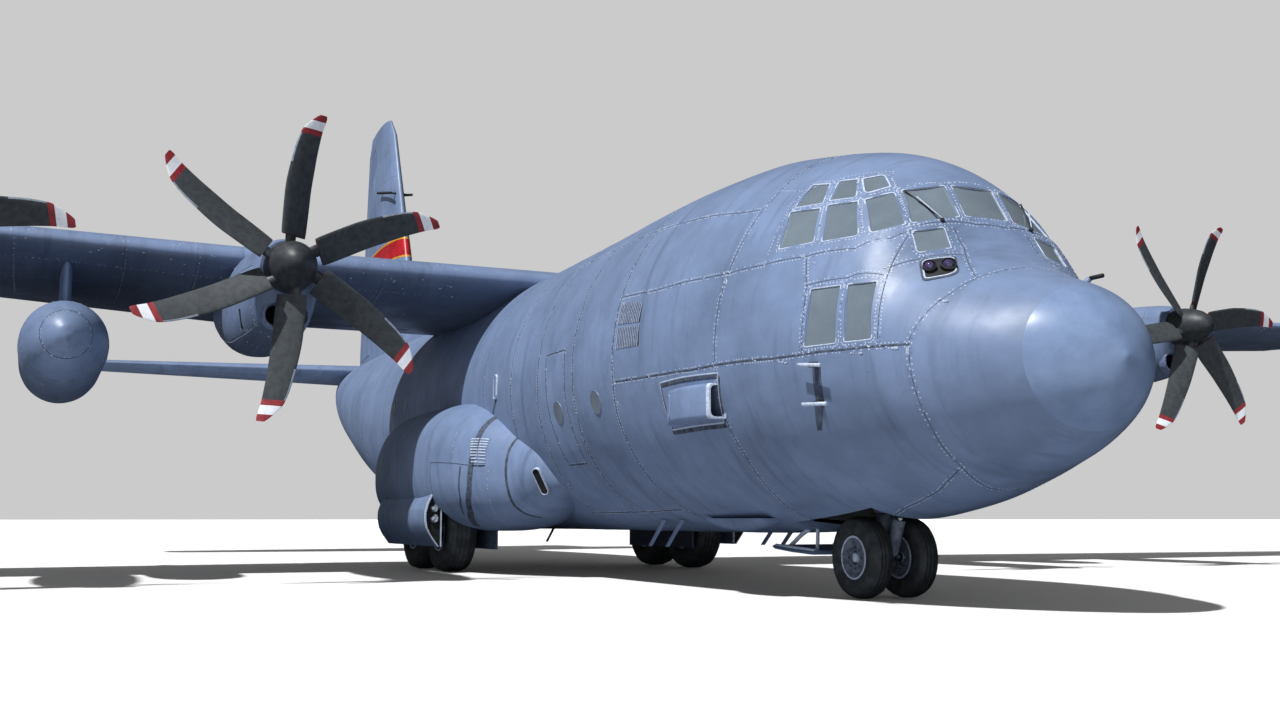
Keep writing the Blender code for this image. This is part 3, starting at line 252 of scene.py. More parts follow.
SIDE_SEAMS = [
    [(3.66, 139.2), (3.95, 139.8), (4.44, 139.7), (5.17, 138.2), (6.10, 136.4), (7.49, 134.5), (8.95, 133.5)],
    [(3.16, 157.3), (3.69, 160.5), (4.11, 161.7), (4.65, 162.6), (5.16, 162.8), (6.11, 161.6)],
    [(6.18, 188.2), (5.52, 188.6), (4.80, 188.7), (4.27, 188.4), (3.79, 187), (2.97, 184.4), (2.52, 182.4),
     (1.96, 179.7), (1.64, 177.3), (1.32, 175.3)],
    [(3.16, 157.3), (2.63, 152.8), (2.12, 146.4), (1.89, 135.7), (1.82, 126.0)],
    [(2.63, 152.8), (2.51, 161.7), (2.49, 170), (2.49, 182)],
    [(2.52, 161.4), (2.08, 156.4), (1.74, 147.1)],
    [(1.82, 126.3), (1.75, 143.4), (1.71, 152.4), (1.65, 167.2), (1.63, 177.2)],
    [(1.75, 143.4), (1.65, 131.8), (1.60, 124.1), (1.50, 112.9)],
    [(1.72, 108), (1.56, 109.2), (1.30, 117.5), (1.11, 124.6)],
    [(1.84, 125.5), (1.77, 111.4), (1.72, 97), (1.72, 90)],
    [(1.45, 241.5), (1.93, 249.4), (2.59, 254.2), (2.90, 258)],
    [(6.41, 239.8), (7.48, 241), (9.5, 241.5)],
]
RIVET_LINES = [
    [(3.16, 157.3), (3.16, 150.9), (3.19, 141.8), (3.22, 136.6), (3.17, 131.3), (3.01, 126.1), (2.63, 116.7),
     (2.45, 112.4), (2.35, 116), (2.16, 119.5)],
    [(3.62, 131), (3.22, 131)],
    [(2.15, 117.7), (2.04, 101.7), (2.03, 90)],
]
RADOME_JOINT = [(1.07, 90), (1.07, 102.6), (1.07, 114.7), (1.11, 124.6), (1.15, 140.7), (1.23, 154.5),
                (1.32, 172), (1.32, 199), (1.34, 215), (1.45, 241.5), (1.62, 262), (1.64, 270)]
FAR_SEAM = 0.026               # width of the joints far from the camera, drawn wider so that they show
BOOT_END = 0.42                # edge of the glossy cap on the radome
# Outline of the blanked door on each side, and worn patches beside seams: station, degrees, length, width
BLANK_DOOR = [(8.45, 173), (8.45, 187), (8.47, 202), (8.52, 215), (7.90, 215), (7.82, 206), (7.78, 192),
              (7.75, 181), (7.76, 173), (8.45, 173)]
WORN = [(1.45, 177.5, 0.24, 0.05), (1.34, 179.5, 0.05, 0.12), (2.75, 185.2, 0.13, 0.035),
        (1.90, 181, 0.26, 0.03), (1.17, 147, 0.11, 0.05), (1.08, 118, 0.05, 0.03), (1.44, 113.5, 0.06, 0.02),
        (3.70, 163, 0.06, 0.05), (2.50, 154.5, 0.05, 0.03), (6.12, 188.5, 0.07, 0.03),
        (6.14, 195, 0.03, 0.05), (5.98, 164, 0.10, 0.03)]
TAIL_RINGS = [11.20, 17.70, 19.60, 21.60, 23.60, 25.40, 27.40]
ROUND_WINDOWS = [(8.12, 194.4), (6.80, 193.5), (16.91, 175), (15.98, 175)]
ROUND_WINDOW = 0.15
GRILLES = [((6.06, 163.5), (5.42, 165.5), (5.42, 171.5), (6.04, 170.5)),
           ((6.04, 171.5), (5.42, 172.5), (5.41, 178.4), (6.03, 178.0))]
SCOOP = [(3.84, 0.165), (3.90, 0.175), (4.20, 0.19), (4.60, 0.13), (4.92, 0.012)]
SCOOP_HEIGHTS = (1.90, 2.28)
SCOOP_FRAME = [(3.76, 2.345), (4.96, 2.345), (5.00, 1.82), (3.90, 1.835)]
SENSOR_BOX = [(1.62, 3.285), (1.50, 3.315), (1.29, 3.11), (1.46, 3.07)]
PROBES = [(2.46, 2.18, 185.8), (2.51, 2.20, 199.0)]

# Marks on a sponson as (station, degrees up from its widest line)
SPONSON_BANDS = [
    (0.125, [(10.72, 75), (10.69, 55), (10.65, 34), (10.63, 14), (10.68, 0), (10.75, -17), (11.02, -43),
             (11.5, -66)]),
    (0.060, [(10.005, 70), (10.005, 42), (10.02, 25), (10.02, 3), (10.02, -21), (10.06, -44), (10.06, -64),
             (10.03, -83)]),
    (0.045, [(10.91, 0), (11.04, -26), (11.26, -45)]),
    (0.010, [(11.83, 0.5), (10.46, 1)]),
    (0.008, [(11.83, 0.5), (11.84, -22)]),
]
SPONSON_RIVETS = [[(11.14, 25), (11.13, 10), (11.11, 2)],
                  [(10.34, -1), (10.40, -23), (10.50, -47), (10.79, -75)]]
SPONSON_LOUVRE = [(10.77, 24), (10.42, 30), (10.40, 3), (10.66, 2)]
SPONSON_INTAKE = {"top": (9.42, 3), "bottom": (9.42, -58), "half_width": 0.052}

# Dorsal fillet: station, half width, top
FILLET = [(18.60, 0.05, 5.03), (20.3, 0.10, 5.22), (22.0, 0.15, 5.42), (23.2, 0.20, 5.68), (24.2, 0.25, 6.00),
          (25.2, 0.25, 6.10)]
# On each side: the long port, and the corners of stains as station and degrees
SIDE_PORT = (10.60, 179)
PORT_STAIN = [(10.55, 184), (10.63, 184), (10.86, 190), (10.78, 190)]
PROBE_STAINS = ([(2.37, 186), (2.27, 186), (2.32, 199), (2.42, 199)],
                [(2.44, 199.5), (2.32, 199.5), (2.50, 210), (2.56, 210)])
WIPER = {"foot": (1.78, 111.8), "middle": (1.99, 117.0), "tip": (2.13, 118.1)}
BLADE_AERIALS = (7.38, 6.85)
# Lenses of the sensor box: station, height, radius
LENSES = ((1.520, 3.195, 0.066), (1.425, 3.205, 0.076))
# Mouth of the scoop: station, rise above the skin, shrinkage; and its round outlet: station, height
SCOOP_MOUTH = ((3.80, 0.158, 0.006), (3.80, 0.158, 0.024), (4.10, 0.18, 0.024))
SCOOP_OUTLET = (4.70, 2.09)
# Crown aerial: station and rise above its foot
CROWN_AERIAL = ((5.60, 0.02), (5.72, 0.16), (5.98, 0.16), (6.10, 0.02))
CROWN_AERIAL_FOOT = 5.02
# Long fairing beside the keel, and the door strip beside the wheels
KEEL_FAIRING = {"start": 4.60, "end": 6.0, "span": 0.83, "height": 0.86, "radius": 0.15}
DOOR_STRIP = {"start": 11.72, "end": 14.30, "inner": 1.72, "outer": 1.76, "bottom": 0.37, "top": 0.80}
# Gear lamps: height and radius, and their distance from the centre line
LAMPS = ((1.02, 0.062), (0.86, 0.068))
LAMP_SIDE = 2.72
# Joints of the wing: spans across it, and chord fractions along it, below zero on the lower face
WING_JOINTS = (3.6, 4.5, WING_JOINT, 7.42, 8.91, 11.9, 14.8, 17.6)
WING_LINES = (0.10, -0.08, -0.30, 0.45, -0.62)
WICK_SPANS = (14.2, 15.3, 16.4, 17.5, 18.6)
# Joints of the fin: chord fractions and heights; homing aerial: struts, and the ends of its bar
FIN_LINES = (0.10, -0.10, 0.40, -0.40)
FIN_JOINTS = (6.6, 7.3, 8.6, 9.9)
HOMING_STRUTS = ((25.35, 9.38), (26.45, 9.62))
HOMING_BAR = ((25.2, 0.28, 9.35), (26.6, 0.30, 9.65))
# Stripe of the fin: bottom and top of each band, and its finish
STRIPE = ((7.52, 7.57, 2), (7.57, 8.03, 1), (8.03, 8.08, 2))
# Joints round and along the nacelles: stations and degrees
COWLING_JOINTS = (9.50, 10.35, 11.45, 12.6)
COWLING_LINES = (22, 158, -40, 220)
NACELLE_WALL = 0.05
# Lip and duct of a chin intake: station, and growth of its opening
INTAKE_LIP = ((9.22, 0.035), (9.12, 0.035), (9.085, 0.02), (9.085, 0.0), (9.12, -0.018), (9.30, -0.022))
INTAKE_DUCT = ((9.62, -0.02), (9.74, -0.05), (9.78, -0.05))
# Wheel bolt: radius and distance outward
BOLT = [(0.0, 0.018), (0.016, 0.014), (0.018, -0.01), (0.0, -0.01)]
# Rings of the tanks: share of the length, and paint chips for each metre
TANK_RINGS = ((0.035, 5.0), (0.15, 2.0), (0.27, 2.0), (0.60, 1.0), (0.80, 1.0))
# Nose gear door: station and height of its lower face
NOSE_DOOR = ((4.40, 0.455), (4.44, 0.45), (4.9, 0.47), (5.27, 0.50), (5.31, 0.51))
# Its links by distance: station and height of both ends, radius
DOOR_LINKS = {0.40: [((4.42, 0.50), (5.29, 0.545), 0.018)],
              0.32: [((5.16, 0.50), (4.86, 0.66), 0.026), ((4.86, 0.66), (4.52, 0.80), 0.026),
                     ((4.50, 0.48), (4.47, 0.95), 0.022)]}
# Distance of the pilots' seats, and the dials: first distance and height, and the steps to the next ones
SEAT_SIDE = 0.62
DIALS = {"y": -0.72, "z": 2.66, "across": 0.18, "up": 0.17}
# Cushions of a pilot's seat: name, station, height, half sizes along, across and up
CUSHIONS = (("seat", 2.86, 2.72, (0.215, 0.21, 0.065)), ("back", 3.045, 3.08, (0.05, 0.20, 0.28)),
            ("head", 3.055, 3.50, (0.042, 0.12, 0.09)))
# Rim and face of a dial: radius and distance aft
DIAL = [(0, 0), (0.062, 0), (0.062, 0.02), (0.05, 0.022), (0.048, 0.01), (0, 0.01)]

# Camera of the photograph and the way that the sunlight travels, in the model's frame
CAMERA = {"spot": (11.7227, -4.24815, 0.42905), "yaw": 0.4282, "pitch": 0.1187, "lens": 37.37}
SUN_WAY = (-0.32, 0.69, -1.13)


def place(station, distance, height):
    """Model coordinates of a point of the real plane."""
    return Vector(((LENGTH / 2 - station) * MODEL_SCALE, distance * MODEL_SCALE, height * MODEL_SCALE))


def linear(colour):
    """Linear red, green, blue and alpha of an sRGB hex value."""
    parts = [int(colour[k:k + 2], 16) / 255 for k in (1, 3, 5)]
    return [c / 12.92 if c <= 0.04045 else ((c + 0.055) / 1.055) ** 2.4 for c in parts] + [1.0]


class PaintSettings(bpy.types.PropertyGroup):
    """Colours of the outside."""
    enamel: FloatVectorProperty(name="Enamel", description="Blue-grey enamel of the skin", subtype="COLOR",
                                size=4, default=linear("#7f92b6"), min=0.0, max=1.0)
    enamel_shade: FloatVectorProperty(name="Enamel shade", description="Enamel where it has aged darker",
                                      subtype="COLOR", size=4, default=linear("#667896"), min=0.0, max=1.0)
    grime: FloatVectorProperty(name="Grime", description="Dirt in streaks and specks", subtype="COLOR",
                               size=4, default=linear("#3c4557"), min=0.0, max=1.0)
    primer: FloatVectorProperty(name="Primer", description="Pale primer that shows at chips and rivets",
                                subtype="COLOR", size=4, default=linear("#cdd8ea"), min=0.0, max=1.0)


class SeamSettings(bpy.types.PropertyGroup):
    """Sizes of seams and rivets on the real plane."""
    seam_width: FloatProperty(name="Seam width", description="Width of a sealed skin joint", unit="LENGTH",
                              default=0.011, min=0.002, max=0.05)
    rivet_pitch: FloatProperty(name="Rivet pitch", description="Distance between rivets in a row",
                               unit="LENGTH", default=0.042, min=0.02, max=0.3)
    rivet_radius: FloatProperty(name="Rivet radius", description="Radius of a rivet head", unit="LENGTH",
                                default=0.0085, min=0.002, max=0.02)
    rivet_offset: FloatProperty(name="Row offset", description="From a seam to the rivet row beside it",
                                unit="LENGTH", default=0.024, min=0.01, max=0.1)
    chips: FloatProperty(name="Chips", description="Paint chips for each metre of seam", default=4.0,
                         min=0.0, max=20.0)


class StageSettings(bpy.types.PropertyGroup):
    """Floor, backdrop and lights."""
    floor_half: FloatProperty(name="Floor", description="Half the side of the floor", unit="LENGTH",
                              default=400.0, min=20.0, max=1000.0)
    floor_colour: FloatVectorProperty(name="Floor colour", description="Colour of the pale floor",
                                      subtype="COLOR", size=4, default=linear("#f4f4f4"), min=0.0, max=1.0)
    backdrop: FloatVectorProperty(name="Backdrop", description="Grey behind the plane", subtype="COLOR",
                                  size=4, default=linear("#cbcbcb"), min=0.0, max=1.0)
    sun_strength: FloatProperty(name="Sun", description="Strength of the high key light", default=4.2,
                                min=0.0, max=20.0)
    fill_strength: FloatProperty(name="Fill", description="Strength of the soft light from ahead and above",
                                 default=0.98, min=0.0, max=20.0)
    floor_fill: FloatProperty(name="Floor fill", description="Strength of the soft light on the floor alone",
                              default=4.0, min=0.0, max=20.0)
    bounce_half: FloatProperty(name="Bounce floor",
                               description="Half the side of the unseen floor that throws light back",
                               unit="LENGTH", default=60.0, min=5.0, max=400.0)
    bounce_colour: FloatVectorProperty(name="Bounce colour", description="Colour of that unseen floor",
                                       subtype="COLOR", size=4, default=linear("#b2b5ba"), min=0.0, max=1.0)


def add(tree, kind, inputs=None, **settings):
    """Node with its settings; each input is a number, a colour or the socket that feeds it."""
    node = tree.nodes.new(kind)
    for name, value in settings.items():
        setattr(node, name, value)
    for socket, value in (inputs or {}).items():
        if isinstance(value, bpy.types.NodeSocket):
            tree.links.new(value, node.inputs[socket])
        else:
            node.inputs[socket].default_value = value
    return node


def new_material(name, colour, roughness, metallic=0.0, **sockets):
    """Material with its shader's own values; returns it, its tree and its shader."""
    made = bpy.data.materials.new(name)
    made.use_nodes = True
    shader = made.node_tree.nodes["Principled BSDF"]
    shader.inputs["Base Color"].default_value = colour
    shader.inputs["Roughness"].default_value = roughness
    shader.inputs["Metallic"].default_value = metallic
    for socket, value in sockets.items():
        shader.inputs[socket.replace("_", " ")].default_value = value
    made.diffuse_color = colour
    return made, made.node_tree, shader


def noise(tree, where, scale, detail, roughness=0.5):
    """Fractal noise at a place."""
    return add(tree, "ShaderNodeTexNoise", {"Vector": where, "Scale": scale, "Detail": detail,
                                            "Roughness": roughness}).outputs[0]


def ramp(tree, value, low, high, bottom=0.0, top=1.0):
    """A value's run from low to high, turned into a run from bottom to top."""
    return add(tree, "ShaderNodeMapRange", {"Value": value, "From Min": low, "From Max": high,
                                            "To Min": bottom, "To Max": top}).outputs[0]


def blend(tree, share, first, second):
    """First colour, with a share of the second."""
    return add(tree, "ShaderNodeMix", {0: share, 6: first, 7: second}, data_type="RGBA").outputs[2]


def aged_enamel(name, streak_scale, underside_shade=0.0, rough=0.42):
    """Sprayed polyurethane enamel on aluminium: half gloss, clouded by age, streaked by rain and flecked,
    with an optional painted shade on the faces that look down.
    """
    colours = bpy.context.scene.plane_paint
    made, tree, shader = new_material(name, colours.enamel, rough)
    where = add(tree, "ShaderNodeTexCoord").outputs["Object"]
    cloud = noise(tree, where, 1.7, 7.0, 0.66)
    colour = blend(tree, ramp(tree, cloud, 0.36, 0.70), colours.enamel, colours.enamel_shade)
    # Rain streaks: 40 to 60 mm wide and about a metre long on the model
    stretched = add(tree, "ShaderNodeMapping", {"Vector": where, "Scale": streak_scale}).outputs[0]
    streak = noise(tree, stretched, 1.0, 6.0, 0.7)
    colour = blend(tree, ramp(tree, streak, 0.52, 0.80, top=0.55), colour, colours.grime)
    # Specks are 4 to 8 mm across, coarser than real dirt, so that they show
    speck = noise(tree, where, 60.0, 3.0, 0.6)
    colour = blend(tree, ramp(tree, speck, 0.70, 0.76, top=0.65), colour, colours.grime)
    fleck = noise(tree, where, 21.0, 9.0, 0.78)
    colour = blend(tree, ramp(tree, fleck, 0.72, 0.75, top=0.8), colour, colours.primer)
    if underside_shade:
        # Painted shade: the more a face looks down, the more its colour is darkened towards dark blue-grey
        facing = add(tree, "ShaderNodeSeparateXYZ", {0: add(tree, "ShaderNodeNewGeometry").outputs["Normal"]})
        under = ramp(tree, facing.outputs[2], 0.0, -0.7, top=underside_shade)
        colour = blend(tree, under, colour, linear("#1f2733"))
    tree.links.new(colour, shader.inputs["Base Color"])
    sheen = ramp(tree, cloud, 0.3, 0.7, rough - 0.07, rough + 0.1)
    tree.links.new(sheen, shader.inputs["Roughness"])
    # Oil-canning between frames, about 250 mm apart, and the fine peel of sprayed paint
    dents, peel = noise(tree, where, 4.0, 2.0), noise(tree, where, 260.0, 2.0)
    soft = add(tree, "ShaderNodeBump", {"Height": dents, "Strength": 0.35, "Distance": 0.02}).outputs[0]
    fine = add(tree, "ShaderNodeBump", {"Height": peel, "Strength": 0.12, "Distance": 0.002, "Normal": soft})
    tree.links.new(fine.outputs[0], shader.inputs["Normal"])
    return made


def mottled(name, colour, other, scale, roughness, metallic=0.0, bump=0.0, low=0.4, high=0.65, **sockets):
    """Finish that varies between two colours in patches of about 1/scale metres, with a bump to match."""
    colour, other = [linear(c) if isinstance(c, str) else c for c in (colour, other)]
    made, tree, shader = new_material(name, colour, roughness, metallic, **sockets)
    where = add(tree, "ShaderNodeTexCoord").outputs["Object"]
    patch = noise(tree, where, scale, 6.0, 0.65)
    tree.links.new(blend(tree, ramp(tree, patch, low, high), colour, other), shader.inputs["Base Color"])
    if bump:
        relief = add(tree, "ShaderNodeBump", {"Height": patch, "Strength": bump, "Distance": 0.003})
        tree.links.new(relief.outputs[0], shader.inputs["Normal"])
    return made


def make_materials():
    """Every finish of the plane, by name."""
    colours = bpy.context.scene.plane_paint
    # Enamel on the fuselage streaks down, and on wings and tail it streaks along the air flow
    aged_enamel("hull_enamel", (9.0, 1.1, 0.9))
    # The wing enamel has painted shade on its faces that look down
    aged_enamel("wing_enamel", (0.9, 11.0, 2.0), underside_shade=0.6)
    aged_enamel("tank_enamel", (0.9, 9.0, 9.0))
    # Rubber-backed polyurethane cap on the radome's tip: the enamel's colour, but glossier
    mottled("erosion_boot", "#8196ba", "#7287aa", 5.0, 0.30)
    # Soot and oil blown back along the skin, and painted shade on the inner door strips: matt and dark
    mottled("stain", "#3d475c", "#55617a", 26.0, 0.7)
    # Coated sensor glass: almost black, with a violet cast
    mottled("dark_lens", "#2a2f45", "#4a3f66", 9.0, 0.06, IOR=1.6, Coat_Weight=0.6)
    # Polysulphide sealant in the joints: matt, dark and dusty
    mottled("joint_sealant", "#343c4c", "#596479", 40.0, 0.8)
    # Zinc chromate primer and rubbed aluminium at rivets, chips and edges: pale and a little bright
    mottled("bare_primer", colours.primer, "#9fadc6", 70.0, 0.45, bump=0.1)
    mottled("painted_rivet", "#7484a6", "#55617a", 70.0, 0.4)
    # Laminated glass with a grey-green tint, clean and smooth; its pale base colour is partly tint and partly
    # painted reflection, since reflections don't show the backdrop
    mottled("tinted_glass", "#6a7681", "#788590", 2.2, 0.10, IOR=1.52, Coat_Weight=0.4)
    # Pressed glass lamp lens, clear over a bright reflector: its pale grey is a painted reflection of that
    # reflector
    mottled("lamp_lens", "#c2ccd6", "#8d99a6", 30.0, 0.12, IOR=1.52, Coat_Weight=0.5)
    # Moulded rubber and black plastic: matt, with a faint bloom
    mottled("black_rubber", "#15171a", "#26292d", 30.0, 0.75, bump=0.15)
    mottled("tyre_rubber", "#2c3034", "#43484d", 14.0, 0.68, bump=0.2)
    # Zinc-plated and grey-enamelled steel of the gear
    mottled("gear_enamel", "#8793a6", "#596474", 18.0, 0.42, bump=0.1)
    mottled("hub_enamel", "#6f7a8c", "#3d4654", 22.0, 0.45, bump=0.1)
    mottled("bright_steel", "#c9ced6", "#8f969f", 25.0, 0.25, metallic=1.0)
    # Carbon and glass fibre blades in matt dark grey, pitted by grit
    mottled("blade_composite", "#3f454a", "#30353a", 24.0, 0.72, bump=0.15)
    mottled("blade_shank", "#2b2f33", "#3a3f44", 24.0, 0.5, bump=0.2)
    mottled("nickel_edge", "#a9b4c2", "#7d8896", 45.0, 0.4, metallic=0.3)
    mottled("tip_red", "#9c2a33", "#7b1f28", 30.0, 0.5)
    mottled("tip_white", "#eef1f6", "#c9d2e0", 30.0, 0.5, low=0.5, high=0.8)
    # Gloss enamel stripes round the fin
    mottled("stripe_red", "#c0202c", "#96161f", 9.0, 0.35)
    mottled("stripe_yellow", "#e3a535", "#c48a24", 9.0, 0.35)
    # Painted shade: near-black metal inside ducts, wells, cabins, bays and slots and behind slats, where the
    # shade falls
    mottled("dark_duct", "#0c0e11", "#191c20", 12.0, 0.8)
    mottled("well_primer", "#59635c", "#3d4640", 8.0, 0.7)
    mottled("cabin_lining", "#6c746f", "#565d59", 6.0, 0.75)
    mottled("seat_cloth", "#3b4238", "#2b3029", 160.0, 0.95, bump=0.3)
    mottled("dial_panel", "#22252a", "#2d3137", 20.0, 0.6)


def piece(name, points, faces, materials, body=ROOT, slots=None, angle=35.0, instead=(),
          finish="painted_skin"):
    """Object from points and faces in place, with outward faces, riding on a body."""
    mesh = bpy.data.meshes.new(name)
    mesh.from_pydata(points, [], faces)
    made = bpy.data.objects.new(name, mesh)
    bpy.context.scene.collection.objects.link(made)
    for material in materials:
        mesh.materials.append(bpy.data.materials[material])
    if slots:
        mesh.polygons.foreach_set("material_index", slots)
    settle(made, angle)
    if body:
        mount(made, body, instead)
    return made


def settle(made, angle=35.0):
    """Outward faces, smooth except at edges sharper than the angle."""
    mesh = made.data
    bm = bmesh.new()
    bm.from_mesh(mesh)
    bmesh.ops.recalc_face_normals(bm, faces=bm.faces)
    bm.to_mesh(mesh)
    bm.free()
    mesh.shade_smooth()
    mesh.set_sharp_from_angle(angle=radians(angle))


def mount(made, body, instead=()):
    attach(made, body)
    if instead:
        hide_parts(*instead)


def loft(rings, front=True, back=True):
    """Points and faces through rings of equal counts."""
    count = len(rings[0])
    points = [point for ring in rings for point in ring]
    faces = []
    for i in range(len(rings) - 1):
        for k in range(count):
            j = (k + 1) % count
            faces.append((i * count + k, i * count + j, (i + 1) * count + j, (i + 1) * count + k))
    if front:
        faces.append(tuple(range(count - 1, -1, -1)))
    if back:
        faces.append(tuple((len(rings) - 1) * count + k for k in range(count)))
    return points, faces


class Batch:
    """Many small shapes gathered into one mesh."""

    def __init__(self):
        self.points = []
        self.faces = []
        self.slots = []

    def add(self, shape, slot=0, slots=None):
        """Add a shape's points and faces with one slot, or with a slot for each face."""
        points, faces = shape
        base = len(self.points)
        self.points.extend(points)
        self.faces += [[base + k for k in face] for face in faces]
        self.slots += slots or [slot] * len(faces)

    def join(self, other):
        self.add((other.points, other.faces), slots=other.slots)

    def made(self, name, materials, **options):
        return piece(name, self.points, self.faces, materials, slots=self.slots, **options)


def smooth_value(table, station, column):
    """Monotone cubic through one column of a table, as in the solids' source."""
    xs = [row[0] for row in table]
    ys = [row[column] for row in table]
    steps = [b - a for a, b in zip(xs, xs[1:])]
    slopes = [(b - a) / h for a, b, h in zip(ys, ys[1:], steps)]
    tangents = [slopes[0]] + [0.0] * (len(xs) - 2) + [slopes[-1]]
    for i in range(1, len(xs) - 1):
        if slopes[i - 1] * slopes[i] > 0:
            before = 2 * steps[i] + steps[i - 1]
            after = steps[i] + 2 * steps[i - 1]
            tangents[i] = (before + after) / (before / slopes[i - 1] + after / slopes[i])
    i = 0
    while i < len(steps) - 1 and station > xs[i + 1]:
        i += 1
    h = steps[i]
    t = (station - xs[i]) / h
    return (ys[i] * (1 + 2 * t) * (1 - t) ** 2 + h * tangents[i] * t * (1 - t) ** 2
            + ys[i + 1] * t * t * (3 - 2 * t) + h * tangents[i + 1] * t * t * (t - 1))


def turns(count):
    """Equal turns of one circle, from zero."""
    return [2 * pi * k / count for k in range(count)]


def signed_power(value, power):
    return copysign(abs(value) ** power, value)


HULL_ROWS = {}


def hull_row(station):
    """The six sizes of the fuselage at a station, kept for the next call."""
    key = round(station, 5)
    if key not in HULL_ROWS:
        HULL_ROWS[key] = [smooth_value(HULL, station, column) for column in range(1, 7)]
    return HULL_ROWS[key]


def hull(station, angle, inset=0.0):
    """Point of the fuselage skin; the angle runs from port over the crown."""
    half, crown, middle, keel, upper, lower = hull_row(station)
    c, s = cos(angle), sin(angle)
    square = upper if s >= 0 else lower
    reach = (crown - middle if s >= 0 else middle - keel) - inset
    return place(station, (half - inset) * signed_power(c, 2 / square),
                 middle + reach * signed_power(s, 2 / square))


def hull_angle(station, height, side):
    """Angle on the skin at a height, on the port (1) or starboard (-1) side."""
    _, crown, middle, keel, upper, lower = hull_row(station)
    rise = (height - middle) / (crown - middle if height >= middle else middle - keel)
    power = upper if height >= middle else lower
    angle = asin(signed_power(max(-1.0, min(1.0, rise)), power / 2))
    return angle if side > 0 else pi - angle


def hull_angle_at(station, distance):
    """Angle on the crown at a distance from the centre line."""
    half, upper = hull_row(station)[0], hull_row(station)[4]
    return acos(signed_power(max(-1.0, min(1.0, distance / half)), upper / 2))


def front_station(distance, height):
    """Station at which the skin over the cabin passes through a point seen from the front."""
    near, far = 1.0, 3.2
    for _ in range(30):
        station = (near + far) / 2
        half, crown, middle, _, upper, _ = hull_row(station)
        share = min(1.0, abs(distance) / half)
        top = middle + (crown - middle) * (1 - share ** upper) ** (1 / upper)
        near, far = (station, far) if top < height else (near, station)
    return (near + far) / 2


class Skin:
    """Surface of two parameters, with the line that runs inside it."""

    def __init__(self, point, inside, du=0.01, dv=0.01):
        self.point = point
        self.inside = inside
        self.du = du
        self.dv = dv

    def at(self, u, v, lift=0.0):
        """Point lifted off the surface by a model distance, and the outward normal there."""
        spot = self.point(u, v)
        along = self.point(u + self.du, v) - self.point(u - self.du, v)
        across = self.point(u, v + self.dv) - self.point(u, v - self.dv)
        normal = along.cross(across).normalized()
        if normal.dot(spot - self.inside(u)) < 0:
            normal = -normal
        return spot + normal * lift, normal

    def walk(self, line, step):
        """Stops along a line on the surface, a model step apart: point, direction and normal."""
        marks = [line[0]]
        for a, b in zip(line, line[1:]):
            length = (self.point(*b) - self.point(*a)).length
            count = max(1, round(length / step))
            marks += [(a[0] + (b[0] - a[0]) * k / count, a[1] + (b[1] - a[1]) * k / count)
                      for k in range(1, count + 1)]
        stops = [self.at(*mark) for mark in marks]
        walked = []
        for i, (spot, normal) in enumerate(stops):
            before = stops[max(0, i - 1)][0]
            after = stops[min(len(stops) - 1, i + 1)][0]
            walked.append((spot, (after - before).normalized(), normal))
        return walked


HULL_SKIN = Skin(hull, lambda s: place(s, 0.0, hull_row(s)[2]))


def side_line(line, side):
    """Line on the fuselage from stations and heights."""
    return [(s, hull_angle(s, z, side)) for s, z in line]


def bead(stops, width, rise=0.0005):
    """Raised bead of sealant along stops."""
    rings = []
    for spot, way, normal in stops:
        across = normal.cross(way).normalized()
        foot = spot - normal * 0.0006
        top = spot + normal * rise
        rings.append([foot + across * width / 2, top + across * width * 0.36,
                      top - across * width * 0.36, foot - across * width / 2])
    return loft(rings)


def rivet(spot, normal, radius, rise=0.0011):
    """Low six-sided rivet head."""
    side = normal.orthogonal().normalized()
    other = normal.cross(side)
    rings = []
    for reach, height in ((1.0, -0.0006), (0.86, rise * 0.6), (0.45, rise)):
        rings.append([spot + (side * cos(a) + other * sin(a)) * radius * reach + normal * height
                      for a in [pi * k / 3 for k in range(6)]])
    return loft(rings)


def chip(spot, way, normal, length, width, dice, rise=0.0009):
    """Ragged flake of bare primer."""
    across = normal.cross(way).normalized()
    count = dice.randint(7, 10)
    edge = []
    for a in turns(count):
        reach = dice.uniform(0.45, 1.0)
        edge.append(way * cos(a) * length * reach / 2 + across * sin(a) * width * reach / 2)
    low = [spot + e - normal * 0.0008 for e in edge]
    top = [spot + e * 0.97 + normal * rise for e in edge]
    return loft([low, top])


